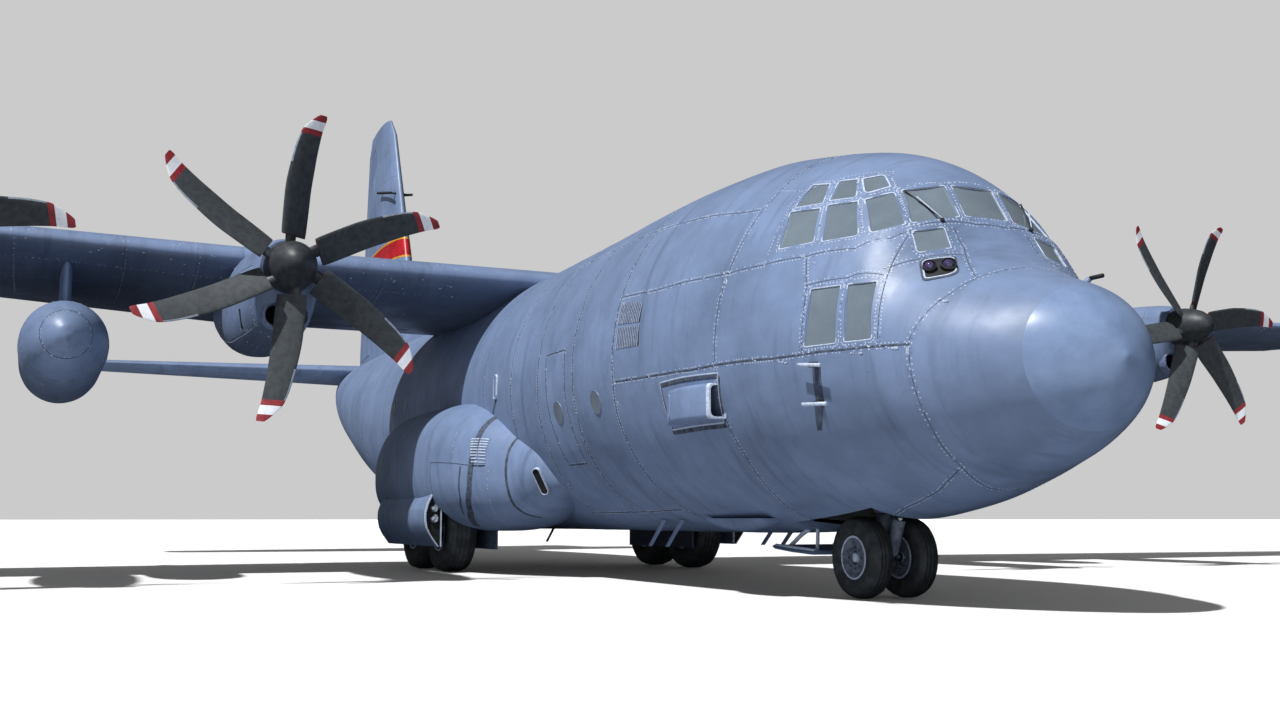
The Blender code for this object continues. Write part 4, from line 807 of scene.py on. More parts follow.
class Seamwork:
    """Sealant beads, rivets and paint chips drawn on skins."""

    def __init__(self, seed):
        self.batch = Batch()
        self.dice = random.Random(seed)

    def rivets(self, skin, line, pitch, bright=0.7):
        sizes = bpy.context.scene.plane_seams
        for spot, way, normal in skin.walk(line, pitch * MODEL_SCALE):
            pale = self.dice.random() < bright
            self.batch.add(rivet(spot, normal, sizes.rivet_radius * MODEL_SCALE), 1 if pale else 2)

    def seam(self, skin, line, pitch=None, rows=(1, -1), bright=0.7, chips=None, width=None):
        """Sealed joint with a row of rivets on each side and chips along it."""
        sizes = bpy.context.scene.plane_seams
        width = (width or sizes.seam_width) * MODEL_SCALE
        stops = skin.walk(line, 0.05)
        self.batch.add(bead(stops, width), 0)
        pitch = pitch or sizes.rivet_pitch
        offset = sizes.rivet_offset * MODEL_SCALE
        for spot, way, normal in skin.walk(line, pitch * MODEL_SCALE) if rows else []:
            across = normal.cross(way).normalized()
            for row in rows:
                pale = self.dice.random() < bright
                middle = spot + across * offset * row
                self.batch.add(rivet(middle, normal, sizes.rivet_radius * MODEL_SCALE), 1 if pale else 2)
        length = sum((b[0] - a[0]).length for a, b in zip(stops, stops[1:]))
        rate = sizes.chips if chips is None else chips
        for _ in range(int(length / MODEL_SCALE * rate)):
            spot, way, normal = self.dice.choice(stops)
            across = normal.cross(way).normalized()
            middle = spot + way * self.dice.uniform(-0.025, 0.025) + across * self.dice.gauss(0.0, 0.006)
            size = self.dice.uniform(0.006, 0.024)
            self.batch.add(chip(middle, way, normal, size, size * self.dice.uniform(0.25, 0.5), self.dice), 1)

    def ring(self, skin, station, count, **options):
        """Joint all round a body at a station, with one row of rivets."""
        self.seam(skin, [(station, 2 * pi * k / count) for k in range(count + 1)], rows=(1,), **options)

    def made(self, name):
        return self.batch.made(name, ["joint_sealant", "bare_primer", "painted_rivet"], angle=50.0)


def baked(made):
    """The object with its modifiers made part of its mesh."""
    bpy.context.view_layer.update()
    graph = bpy.context.evaluated_depsgraph_get()
    mesh = bpy.data.meshes.new_from_object(made.evaluated_get(graph), preserve_all_data_layers=True,
                                           depsgraph=graph)
    made.modifiers.clear()
    made.data = mesh
    return made


def cut_with(made, tools, operation="DIFFERENCE"):
    """Boolean with each of the tools, which are used up."""
    for points, faces in tools:
        tool = piece("tool", points, faces, [], body=None)
        step = made.modifiers.new("cut", "BOOLEAN")
        step.operation = operation
        step.object = tool
        step.solver = "EXACT"
        baked(made)
        bpy.data.objects.remove(tool, do_unlink=True)
    return made


def centre_of(corners):
    """Middle of a list of two-part points."""
    return Vector((sum(c[0] for c in corners), sum(c[1] for c in corners))) / len(corners)


def rounded(corners, radius, steps=4):
    """Outline with its corners rounded."""
    outline = []
    count = len(corners)
    for k in range(count):
        before, corner, after = [Vector(corners[(k + i) % count]) for i in (-1, 0, 1)]
        a = (before - corner).normalized()
        b = (after - corner).normalized()
        reach = min(radius / tan(a.angle(b) / 2), (before - corner).length * 0.45,
                    (after - corner).length * 0.45)
        start, end = corner + a * reach, corner + b * reach
        for i in range(steps + 1):
            t = i / steps
            outline.append(tuple(start * (1 - t) ** 2 + corner * 2 * t * (1 - t) + end * t * t))
    return outline


def widened(outline, margin):
    """Outline moved outward by a margin."""
    count = len(outline)
    area = sum(outline[k][0] * outline[(k + 1) % count][1] - outline[(k + 1) % count][0] * outline[k][1]
               for k in range(count))
    turn = 1 if area > 0 else -1
    moved = []
    for k in range(count):
        a, b, c = [Vector(outline[(k + i) % count]) for i in (-1, 0, 1)]
        way = (c - a).normalized()
        moved.append(tuple(b + Vector((way.y, -way.x)) * margin * turn))
    return moved


def outline_on_hull(way, outline, side):
    """Stations and angles of an outline drawn from the side or from the front."""
    if way == "side":
        return side_line(outline, side)
    return [(s, hull_angle_at(s, y * side)) for s, y in [(front_station(y, z), y) for y, z in outline]]


def prism(way, outline, side, low, high):
    """Prism through the skin along Y or X."""
    if way == "side":
        return loft([[place(s, side * y, z) for s, z in outline] for y in (low, high)])
    return loft([[place(s, side * y, z) for y, z in outline] for s in (low, high)])


def shell(outer, inner, closed_back=False, closed_front=False):
    """Points and faces of a wall between outer and inner rings, open at an end that isn't closed."""
    points, faces = loft(outer, front=closed_front, back=closed_back)
    inner_points, inner_faces = loft(inner, front=closed_front, back=closed_back)
    base, count = len(points), len(outer[0])
    points += inner_points
    faces += [tuple(base + k for k in face) for face in inner_faces]
    last_outer = (len(outer) - 1) * count
    last_inner = base + (len(inner) - 1) * count
    for k in range(count):
        j = (k + 1) % count
        if not closed_front:
            faces.append((k, j, base + j, base + k))
        if not closed_back:
            faces.append((last_outer + k, last_outer + j, last_inner + j, last_inner + k))
    return points, faces


def hull_rings(stations, inset=0.0):
    return [[hull(s, a, inset) for a in turns(AROUND)] for s in stations]


def hull_shell(stations, inner_stations, wall=WALL, **closed):
    """Fuselage skin with its inner wall."""
    return shell(hull_rings(stations), hull_rings(inner_stations, wall), **closed)


def spaced(start, end, step):
    count = max(1, round((end - start) / step))
    return [start + (end - start) * k / count for k in range(count + 1)]


def follow_hull(made):
    """Normals of the outer skin from the hull itself, so that cuts leave no dents in the gloss."""
    mesh = made.data
    normals = [corner.vector.copy() for corner in mesh.corner_normals]
    cache = {}
    for face in mesh.polygons:
        for k in face.loop_indices:
            index = mesh.loops[k].vertex_index
            if index not in cache:
                spot = mesh.vertices[index].co
                station = LENGTH / 2 - spot.x / MODEL_SCALE
                station = max(0.02, min(LENGTH - 0.02, station))
                half, crown, middle, keel, upper, lower = hull_row(station)
                y, z = spot.y / MODEL_SCALE, spot.z / MODEL_SCALE - middle
                power = upper if z >= 0 else lower
                reach = crown - middle if z >= 0 else middle - keel
                angle = atan2(signed_power(z / reach, power / 2), signed_power(y / half, power / 2))
                there, normal = HULL_SKIN.at(station, angle)
                cache[index] = normal if (there - spot).length < 0.002 else None
            normal = cache[index]
            if normal is not None and normal.dot(face.normal) > 0.9:
                normals[k] = normal
    mesh.normals_split_custom_set(normals)


def side_box(start, end, low, high, bottom, top):
    """Points and faces of a box between stations, distances and heights."""
    return loft([[place(s, y, z) for y, z in ((low, bottom), (high, bottom), (high, top), (low, top))]
                 for s in (start, end)])


def hull_piece(name, shape, tools, instead, body=ROOT, kept=None):
    """Length of fuselage skin, cut, smoothed and mounted on its body, hiding the solids it replaces."""
    made = piece(name, *shape, ["hull_enamel"], body=None)
    if kept:
        cut_with(made, [kept], "INTERSECT")
    cut_with(made, tools)
    settle(made)
    follow_hull(made)
    mount(made, body, instead)
    return made


def door_outline(size, margin=0.0, sill=0.0):
    start, end = size["start"] - margin, size["end"] + margin
    bottom, top = size["bottom"] - sill, size["top"] + margin
    return [(start, bottom), (end, bottom), (end, top), (start, top)]


def build_fuselage():
    """Five lengths of skin with their windows, doors and wing gap."""
    nose = [(RADOME_END - GAP) * (k / 36) ** 1.7 for k in range(37)]
    radome = piece("radome_skin", *hull_shell(nose, [0.35, 0.6, 0.9, RADOME_END - GAP], closed_front=True,
                                              wall=0.05),
                   ["hull_enamel", "erosion_boot"], instead=["nose_radome"], finish="composite")
    follow_hull(radome)
    edge = place(BOOT_END, 0.0, 0.0).x
    for face in radome.data.polygons:
        if face.center.x > edge:
            face.material_index = 1

    tools = []
    for _, way, corners in PANES:
        for side, _ in SIDES:
            low, high = (0.55, 2.4) if way == "side" else (1.2, 2.9)
            tools.append(prism(way, rounded(corners, PANE_CORNER), side, low, high))
    tools.append(prism("front", rounded(CENTRE_PANE, PANE_CORNER), 1, 1.2, 2.6))
    bay = NOSE_BAY
    well = side_box(bay["start"], bay["end"], -bay["half_width"], bay["half_width"], 0.3, 1.2)
    hull_piece("cockpit_skin", hull_shell(spaced(RADOME_END, COCKPIT_END, 0.05),
                                          spaced(RADOME_END, COCKPIT_END, 0.25)),
               tools + [well], ["cockpit_shell"])

    start, end = COCKPIT_END + GAP, FORWARD_END - GAP
    shape = hull_shell(spaced(start, end, 0.15), spaced(start, end, 0.5))
    doorway = prism("side", door_outline(CREW_DOOR, RUN), 1, 0.6, 2.4)
    hull_piece("forward_skin", shape, [well, doorway], ["forward_fuselage"])
    hull_piece("crew_door_skin", shape, [], ["crew_door"], "crew_door",
               kept=prism("side", door_outline(CREW_DOOR), 1, 0.6, 2.4))
    hinge = CREW_DOOR["hinge"]
    piece("crew_door_hinge", *bar(place(hinge["start"], *hinge["axis"]), place(hinge["end"], *hinge["axis"]),
                                   hinge["radius"]), ["bright_steel"], body="crew_door")

    shape = hull_shell(spaced(FORWARD_END, CENTRE_END - GAP, 0.44),
                       spaced(FORWARD_END, CENTRE_END - GAP, 2.0))
    hull_piece("centre_skin", shape, [loft(wing_rings(spaced(-3.0, 3.0, 1.0), grow=GAP * 2))],
               ["centre_fuselage"])

    shape = hull_shell(spaced(CENTRE_END, TAIL_END, 0.25), spaced(CENTRE_END, HOLLOW_END, 0.6),
                       closed_back=True, wall=AFT_WALL)
    tools = []
    for side, word in SIDES:
        tools.append(prism("side", door_outline(PARA_DOOR, GAP, GAP), side, 0.9, 2.5))
        hull_piece("para_door_skin_" + word, shape, [], ["para_door_" + word],
                   kept=prism("side", door_outline(PARA_DOOR), side, 0.9, 2.5))
    half = RAMP["half_width"] + RUN
    tools.append(side_box(RAMP["start"] - DOOR_END_ROOM, CARGO_DOOR["end"] + DOOR_END_ROOM, -half, half, 0.3,
                          3.2))
    tools.append(loft(surface_rings(TAILPLANE, spaced(-3.0, 3.0, 1.0), grow=GAP * 2)))
    hull_piece("aft_skin", shape, tools, ["aft_fuselage"])
    for name, size in (("ramp", RAMP), ("cargo_door", CARGO_DOOR)):
        half = size["half_width"]
        hull_piece(name + "_skin", shape, [], [name], name,
                   kept=side_box(size["start"], size["end"], -half, half, 0.3, 3.2))


def table_row(table, position):
    """Straight interpolation of a whole row of a span table."""
    for near, far in zip(table, table[1:]):
        if position <= far[0] + 1e-9:
            t = (position - near[0]) / (far[0] - near[0])
            return [a + (b - a) * t for a, b in zip(near, far)]
    return list(table[-1])


def half_thickness(t, chord, ratio):
    root = 0.2969 * sqrt(t) - 0.1260 * t - 0.3516 * t ** 2 + 0.2843 * t ** 3 - 0.1015 * t ** 4
    return 5 * ratio * chord * max(root, 0.0)


def section_point(row, t, incidence, grow=0.0):
    """Station and height on a section: t is the chord fraction, above zero on the upper face."""
    share = min(1.0, abs(t))
    thick = half_thickness(share, row[2], row[4]) + grow
    if share > 0.999:
        thick = max(thick, 0.012)
    height = row[3] - (share - 0.25) * row[2] * sin(incidence)
    return row[1] + share * row[2], height + copysign(thick, t)


def section_marks(start, end, steps):
    """Chord fractions round a section, close together at the leading edge."""
    shares = []
    for k in range(steps + 1):
        u = k / steps
        shares.append(start + (end - start) * (1 - cos(pi * u / 2) if start == 0.0 else u))
    return shares


def surface_rings(table, spans, start=0.0, end=1.0, incidence=0.0, upright=False, nose=False, grow=0.0,
                  steps=26):
    """Sections of a wing, tail or control surface at spans; a span below zero is to starboard."""
    rings = []
    for span in spans:
        row = table_row(table, abs(span))
        upper = [section_point(row, t, incidence, grow) for t in section_marks(start, end, steps)]
        lower = [section_point(row, -t, incidence, grow) for t in section_marks(start, end, steps)]
        if start == 0.0:
            height = row[3] + 0.25 * row[2] * sin(incidence)
            upper[0] = (row[1] - grow, height)
            outline = upper + lower[:0:-1]
        else:
            outline = upper + lower[::-1]
        if nose:
            thick = half_thickness(start, row[2], row[4])
            s, z = row[1] + start * row[2], row[3] - (start - 0.25) * row[2] * sin(incidence)
            outline += [(s - thick * sin(a), z - thick * cos(a))
                        for a in [pi * k / 8 for k in range(1, 8)]]
        if upright:
            rings.append([place(s, z, span) for s, z in outline])
        else:
            rings.append([place(s, span, z) for s, z in outline])
    return rings


def wing_rings(spans, **options):
    return surface_rings(WING, spans, incidence=INCIDENCE, **options)


def bay_cutter(table, low, high, fraction, side=1, upright=False):
    """Block that clears the trailing edge over a span, for a surface hinged at the fraction."""
    rings = []
    for span in [low] + [row[0] for row in table if low < row[0] < high] + [high]:
        row = table_row(table, span)
        start = row[1] + fraction * row[2] - half_thickness(fraction, row[2], row[4]) - 1.3 * RUN
        end = row[1] + row[2] + 0.3
        corners = [(start, -0.9), (end, -0.9), (end, 0.9), (start, 0.9)]
        if upright:
            rings.append([place(s, h, span) for s, h in corners])
        else:
            rings.append([place(s, side * span, row[3] + h) for s, h in corners])
    return loft(rings)


def span_stops(table, low, high, step=0.8):
    """Spans from low to high that keep the table's own rows."""
    marks = [low] + [row[0] for row in table if low + 0.01 < row[0] < high - 0.01] + [high]
    stops = [low]
    for a, b in zip(marks, marks[1:]):
        stops += spaced(a, b, step)[1:]
    return stops


def build_wings():
    """Wing in three lengths with its flaps and ailerons."""
    stops = span_stops(WING, 0.0, WING_JOINT - GAP)
    spans = [-span for span in reversed(stops[1:])] + stops
    centre = piece("centre_wing_skin", *loft(wing_rings(spans)), ["wing_enamel"], body=None)
    cut_with(centre, [bay_cutter(WING, FLAP_SPANS["inner"][0] - RIB_ROOM, WING_JOINT + 0.1, FLAP_CHORD, side)
                      for side, _ in SIDES])
    settle(centre)
    mount(centre, ROOT, ["centre_wing"])
    for side, word in SIDES:
        spans = [side * span for span in span_stops(WING, WING_JOINT + GAP, WING_TIP)]
        outer = piece("outer_wing_skin_" + word, *loft(wing_rings(spans)), ["wing_enamel"], body=None)
        low, high = AILERON_SPAN
        cut_with(outer, [bay_cutter(WING, WING_JOINT - 0.1, FLAP_SPANS["outer"][1] + RIB_ROOM, FLAP_CHORD,
                                    side),
                         bay_cutter(WING, low - RIB_ROOM, high + RIB_ROOM, AILERON_CHORD, side)])
        settle(outer)
        mount(outer, ROOT, ["outer_wing_" + word])
        for position, (low, high) in FLAP_SPANS.items():
            name = "flap_%s_%s" % (position, word)
            rings = wing_rings([side * span for span in span_stops(WING, low, high)], start=FLAP_CHORD,
                               nose=True, steps=8)
            piece(name + "_skin", *loft(rings), ["wing_enamel"], body=name, instead=[name])
        low, high = AILERON_SPAN
        rings = wing_rings([side * span for span in span_stops(WING, low, high)], start=AILERON_CHORD,
                           nose=True, steps=8)
        piece("aileron_skin_" + word, *loft(rings), ["wing_enamel"], body="aileron_" + word,
              instead=["aileron_" + word])


def build_tail():
    """Tailplane, fin with its dorsal fillet, elevators and rudder."""
    stops = span_stops(TAILPLANE, 0.0, TAILPLANE[-1][0])
    spans = [-span for span in reversed(stops[1:])] + stops
    low, high = ELEVATOR_SPAN
    plane = piece("tailplane_skin", *loft(surface_rings(TAILPLANE, spans)), ["tank_enamel"], body=None)
    cut_with(plane, [bay_cutter(TAILPLANE, low - RIB_ROOM, high + RIB_ROOM, ELEVATOR_CHORD, side)
                     for side, _ in SIDES])
    settle(plane)
    mount(plane, ROOT, ["tailplane"])
    for side, word in SIDES:
        rings = surface_rings(TAILPLANE, [side * span for span in span_stops(TAILPLANE, low, high)],
                              start=ELEVATOR_CHORD, nose=True, steps=8)
        piece("elevator_skin_" + word, *loft(rings), ["tank_enamel"], body="elevator_" + word,
              instead=["elevator_" + word], finish="composite")
    low, high = RUDDER_SPAN
    rings = surface_rings(FIN, span_stops(FIN, FIN[0][0], FIN[-1][0]), upright=True)
    fin = piece("fin_skin", *loft(rings), ["wing_enamel"], body=None)
    fillet = []
    for station, half, top in FILLET:
        fillet.append([place(station, half * cos(a), 4.7 + (top - 4.7) * sin(a))
                       for a in [pi * k / 12 for k in range(13)]])
    cut_with(fin, [loft(fillet)], "UNION")
    core = hull_rings(spaced(CENTRE_END, TAIL_END, 0.5), -GAP)
    cut_with(fin, [loft(core), bay_cutter(FIN, low - RIB_ROOM, high + RIB_ROOM, RUDDER_CHORD, upright=True)])
    settle(fin)
    mount(fin, ROOT, ["fin"])
    rings = surface_rings(FIN, span_stops(FIN, low, high), start=RUDDER_CHORD, upright=True, nose=True,
                          steps=8)
    piece("rudder_skin", *loft(rings), ["wing_enamel"], body="rudder", instead=["rudder"], finish="composite")


def oval_point(station, y, middle, half_width, half_height, angle, square):
    """Point of a squared oval across the line of flight."""
    return place(station, y + half_width * signed_power(cos(angle), 2 / square),
                 middle + half_height * signed_power(sin(angle), 2 / square))


def oval(station, y, middle, half_width, half_height, square, count):
    """Ring of such points."""
    return [oval_point(station, y, middle, half_width, half_height, a, square) for a in turns(count)]


def turned(profile, axis, centre, count=48, closed=False):
    """Points and faces of a profile of (radius, distance along the axis) turned about the axis, in metres of
    the real plane; a profile that starts and ends on the axis is closed there."""
    way = Vector(axis).normalized()
    side = way.orthogonal().normalized()
    other = way.cross(side)
    points, rows, faces = [], [], []
    for radius, along in profile:
        base = Vector(centre) + way * along * MODEL_SCALE
        if radius < 1e-6:
            rows.append([len(points)])
            points.append(base)
            continue
        rows.append(list(range(len(points), len(points) + count)))
        points += [base + (side * cos(a) + other * sin(a)) * radius * MODEL_SCALE
                   for a in turns(count)]
    pairs = list(zip(rows, rows[1:])) + ([(rows[-1], rows[0])] if closed else [])
    for near, far in pairs:
        for k in range(count):
            j = (k + 1) % count
            if len(near) == 1:
                faces.append((near[0], far[k], far[j]))
            elif len(far) == 1:
                faces.append((near[k], near[j], far[0]))
            else:
                faces.append((near[k], near[j], far[j], far[k]))
    return points, faces


def bar(start, end, radius, count=12):
    """Round bar between two model points; the radius is the real plane's."""
    way = end - start
    length = way.length / MODEL_SCALE
    edge = min(radius * 0.25, length * 0.2)
    profile = [(0, 0), (radius - edge, 0), (radius, edge), (radius, length - edge), (radius - edge, length),
               (0, length)]
    return turned(profile, way, start, count)


def nacelle_row(station):
    return [smooth_value(NACELLE, station, column) for column in range(1, 5)]


def nacelle_rings(y, shaft, stations, inset=0.0, count=72):
    rings = []
    for station in stations:
        half, top, bottom, square = nacelle_row(station)
        rings.append(oval(station, y, shaft + (top + bottom) / 2, half - inset, (top - bottom) / 2 - inset,
                          square, count))
    return rings


def build_nacelles():
    """Four nacelles with chin intakes, each round its engine."""
    for word, y, shaft in ENGINES:
        stations = [9.03 + 0.37 * (k / 10) ** 1.5 for k in range(10)] + spaced(9.40, 14.78, 0.16)
        outer = nacelle_rings(y, shaft, stations)
        inner = nacelle_rings(y, shaft, [9.03, 9.2, 9.6, 11.0, 13.0], NACELLE_WALL)
        nacelle = piece("nacelle_skin_" + word, *shell(outer, inner, closed_back=True), ["wing_enamel"],
                        body=None)
        size = INTAKE
        middle = shaft + (size["top"] + size["bottom"]) / 2
        height = (size["top"] - size["bottom"]) / 2

        def mouth(station, grow):
            return oval(station, y, middle, size["half_width"] + grow, height + grow, 2.6, 40)
        wing = loft(wing_rings(spaced(y - 1.2, y + 1.2, 0.8), grow=GAP * 2))
        cut_with(nacelle, [loft([mouth(size["start"], 0.0), mouth(size["end"], 0.0)]), wing])
        settle(nacelle, 40)
        mount(nacelle, ROOT, ["nacelle_" + word])
        # Rolled lip of the intake, and the duct behind it, near black with painted shade
        lip = [mouth(s, g) for s, g in INTAKE_LIP]
        points, faces = loft(lip + [lip[0]], front=False, back=False)
        piece("intake_lip_" + word, points, faces, ["painted_rivet"], angle=60)
        piece("intake_duct_" + word, *loft([mouth(s, g) for s, g in INTAKE_DUCT]), ["dark_duct"])
        core = [(r, -along) for r, along in ENGINE_CORE]
        piece("engine_core_" + word, *turned(core, (1, 0, 0), place(PROPELLER_STATION, y, shaft), 48),
              ["bright_steel"], instead=["engine_" + word], finish="steel")


def blade_rings(rows, centre, phase, count=24):
    """Sections of one blade; its leading edge leads anticlockwise seen from ahead."""
    outward = Vector((0.0, -sin(phase), cos(phase)))
    along = Vector((0.0, -cos(phase), -sin(phase)))
    forward = Vector((1.0, 0.0, 0.0))
    rings = []
    for radius, chord, thick, sweep, pitch in rows:
        tilt = radians(pitch)
        chord_way = along * cos(tilt) + forward * sin(tilt)
        thick_way = forward * cos(tilt) - along * sin(tilt)
        middle = centre + (outward * radius - along * sweep) * MODEL_SCALE
        ring = []
        for a in turns(count):
            share = (1 + cos(a)) / 2
            height = sin(a) * (0.35 + 0.65 * share ** 0.5) * (0.62 if sin(a) > 0 else 0.42)
            ring.append(middle + (chord_way * (share - 0.5) * chord + thick_way * height * thick) *
                        MODEL_SCALE)
        rings.append(ring)
    return rings


def blade_slots(rows, count, faces):
    """Finish of each face of a blade: its band, or the metal strip on the outer leading edge."""
    slots = []
    for index in range(faces):
        row = min(index // count, len(rows) - 2)
        radius = (rows[row][0] + rows[row + 1][0]) / 2
        slot = ([0] + [band for start, band in BANDS if radius > start])[-1]
        edge = index % count
        if slot == 0 and radius > EDGE_STRIP_START and (edge < 2 or edge > count - 3):
            slot = 3
        slots.append(slot)
    return slots


def build_propellers():
    """Four spinners with six scimitar blades each, banded at the tips."""
    finishes = ["blade_composite", "tip_red", "tip_white", "nickel_edge", "blade_shank"]
    radii = ROOT_RADII + spaced(0.46, BANDS[0][0], 0.06) + TIP_RADII
    rows = [[r] + [smooth_value(BLADE, r, column) for column in range(1, 5)] for r in radii]
    for row in rows[-4:]:
        row[1] *= (1 - ((row[0] - 1.97) / 0.1) ** 4 * 0.5)
    for word, y, shaft in ENGINES:
        name = "propeller_" + word
        centre = place(PROPELLER_STATION, y, shaft)
        batch = Batch()
        batch.add(turned(SPINNER, (1, 0, 0), centre, 64), 4)
        for turn in turns(BLADES):
            phase = radians(PROPELLER_PHASES[word]) + turn
            rings = blade_rings(rows, centre, phase)
            shape = loft(rings)
            batch.add(shape, slots=blade_slots(rows, len(rings[0]), len(shape[1])))
            batch.add(loft(blade_rings(SHANK, centre, phase)), 4)
        batch.made(name + "_skin", finishes, body=name, instead=[name], finish="blade", angle=40)


def build_tanks():
    """Two under-wing tanks on slim pylons."""
    size = TANK
    fine = [(t, smooth_value(TANK_SHAPE[1:-1], t, 1)) for t in TANK_STEPS]
    profile = [(r * size["radius"], -t * size["length"]) for t, r in fine]
    profile = [(0.0, 0.0)] + profile + [(0.0, -size["length"])]
    for side, word in SIDES:
        y = side * size["span"]
        nose = place(size["start"], y, size["height"])
        body = piece("tank_skin_" + word, *turned(profile, (1, 0, 0), nose, 72), ["tank_enamel"], body=None)
        start, end, half = TANK_PYLON["start"], TANK_PYLON["end"], TANK_PYLON["half_width"]
        outline = []
        for a in turns(40):
            share = (1 - cos(a)) / 2
            outline.append((start + (end - start) * share ** 1.3, half * sin(a) * (1.1 - 0.35 * share)))
        pylon = loft([[place(s, y + w, z) for s, w in outline] for z in (size["height"] + 0.2, 4.60)])
        cut_with(body, [pylon], "UNION")
        cut_with(body, [loft(wing_rings(spaced(y - 0.8, y + 0.8, 0.8), grow=GAP * 2))])
        settle(body)
        mount(body, ROOT, ["wing_tank_" + word])


def sponson_row(station):
    return [smooth_value(SPONSON, station, column) for column in range(1, 5)]


def sponson(side):
    """Skin of a sponson by station and angle."""
    def point(station, angle):
        outer, top, bottom, square = sponson_row(station)
        return oval_point(station, side * SPONSON_MIDDLE, (top + bottom) / 2, side * (outer - SPONSON_MIDDLE),
                          (top - bottom) / 2, angle, square)

    def inside(station):
        _, top, bottom, _ = sponson_row(station)
        return place(station, side * SPONSON_MIDDLE, (top + bottom) / 2)
    return Skin(point, inside)


def door_section(low, high, shrink=0.0):
    """Half of a bulged gear door across the line of flight: outer face down, flat inner side up."""
    inner = GEAR_DOOR["inner"] + shrink
    heights = sorted(set([low, high] + [z for z, y in GEAR_DOOR["path"] if low < z < high]), reverse=True)
    rows = [[z, y] for z, y in reversed(GEAR_DOOR["path"])]
    outer = [(max(inner + 0.004, smooth_value(rows, z, 1) - shrink), z) for z in heights]
    return outer + [(inner, low), (inner, high)]


def build_sponsons():
    """Two sponsons with their wells, and their bulged gear doors with a lamp bay in front."""
    well, door = MAIN_WELL, GEAR_DOOR
    for side, word in SIDES:
        skin = sponson(side)
        angles = turns(96)
        core = loft(hull_rings([8.9, 9.8, 12.0, 14.8, 17.6, 18.2], -GAP))
        low, high = sorted((side * well["inner"], side * well["outer"]))
        room = side_box(well["start"], well["end"], low, high, 0.2, well["roof"])
        low, high = sorted((side * well["inner"], side * 3.4))
        mouth = side_box(well["start"], well["end"], low, high, 0.2, MOUTH_ROOF)
        nose = [9.25 + 0.55 * (k / 12) ** 1.6 for k in range(13)] + [SPONSON_NOSE_END - GAP]
        main = spaced(SPONSON_NOSE_END, 11.9, 0.1) + spaced(11.9, 17.8, 0.2)[1:]
        for name, stations, tools, instead in (("sponson_nose_", nose, [core], []),
                                               ("sponson_skin_", main, [core, room, mouth],
                                                ["sponson_" + word])):
            body = piece(name + word, *loft([[skin.point(s, a) for a in angles] for s in stations]),
                         ["hull_enamel"], body=None)
            cut_with(body, tools)
            settle(body, 50)
            mount(body, ROOT, instead)
        for name, low, high, instead in (("gear_door_skin_", door["bottom"], door["split"],
                                          ["main_gear_door_" + word]),
                                         ("gear_blister_", door["split"], door["top"], [])):
            rings = [[place(s, side * y, z) for y, z in door_section(low, high)]
                     for s in spaced(door["start"] + 0.05, door["end"], 0.4)]
            piece(name + word, *loft(rings), ["hull_enamel"], instead=instead, angle=50)
        # Open front of the door: rim, a bay coloured near black as painted shade, and two lamps
        whole = [[place(s, side * y, z) for y, z in door_section(door["bottom"], door["top"], shrink)]
                 for s, shrink in ((door["start"] + 0.06, 0.0), (door["start"], 0.0), (door["start"], 0.022),
                                   (door["start"] + 0.045, 0.022))]
        batch = Batch()
        batch.add(loft(whole[:3], front=False, back=False), 0)
        batch.add(loft(whole[2:], front=False), 1)
        for z, radius in LAMPS:
            spot = place(door["start"] + 0.05, side * LAMP_SIDE, z)
            batch.add(turned([(0.0, 0.0), (radius, 0.0), (radius, 0.035), (radius * 0.8, 0.03), (0.0, 0.0)],
                             (1, 0, 0), spot, 24), 2)
            batch.add(turned([(0.0, 0.002), (radius * 0.8, 0.002), (radius * 0.6, 0.02), (0.0, 0.03)],
                             (1, 0, 0), spot, 24), 3)
        batch.made("gear_lamp_bay_" + word, ["bare_primer", "dark_duct", "bright_steel", "lamp_lens"],
                   angle=40)


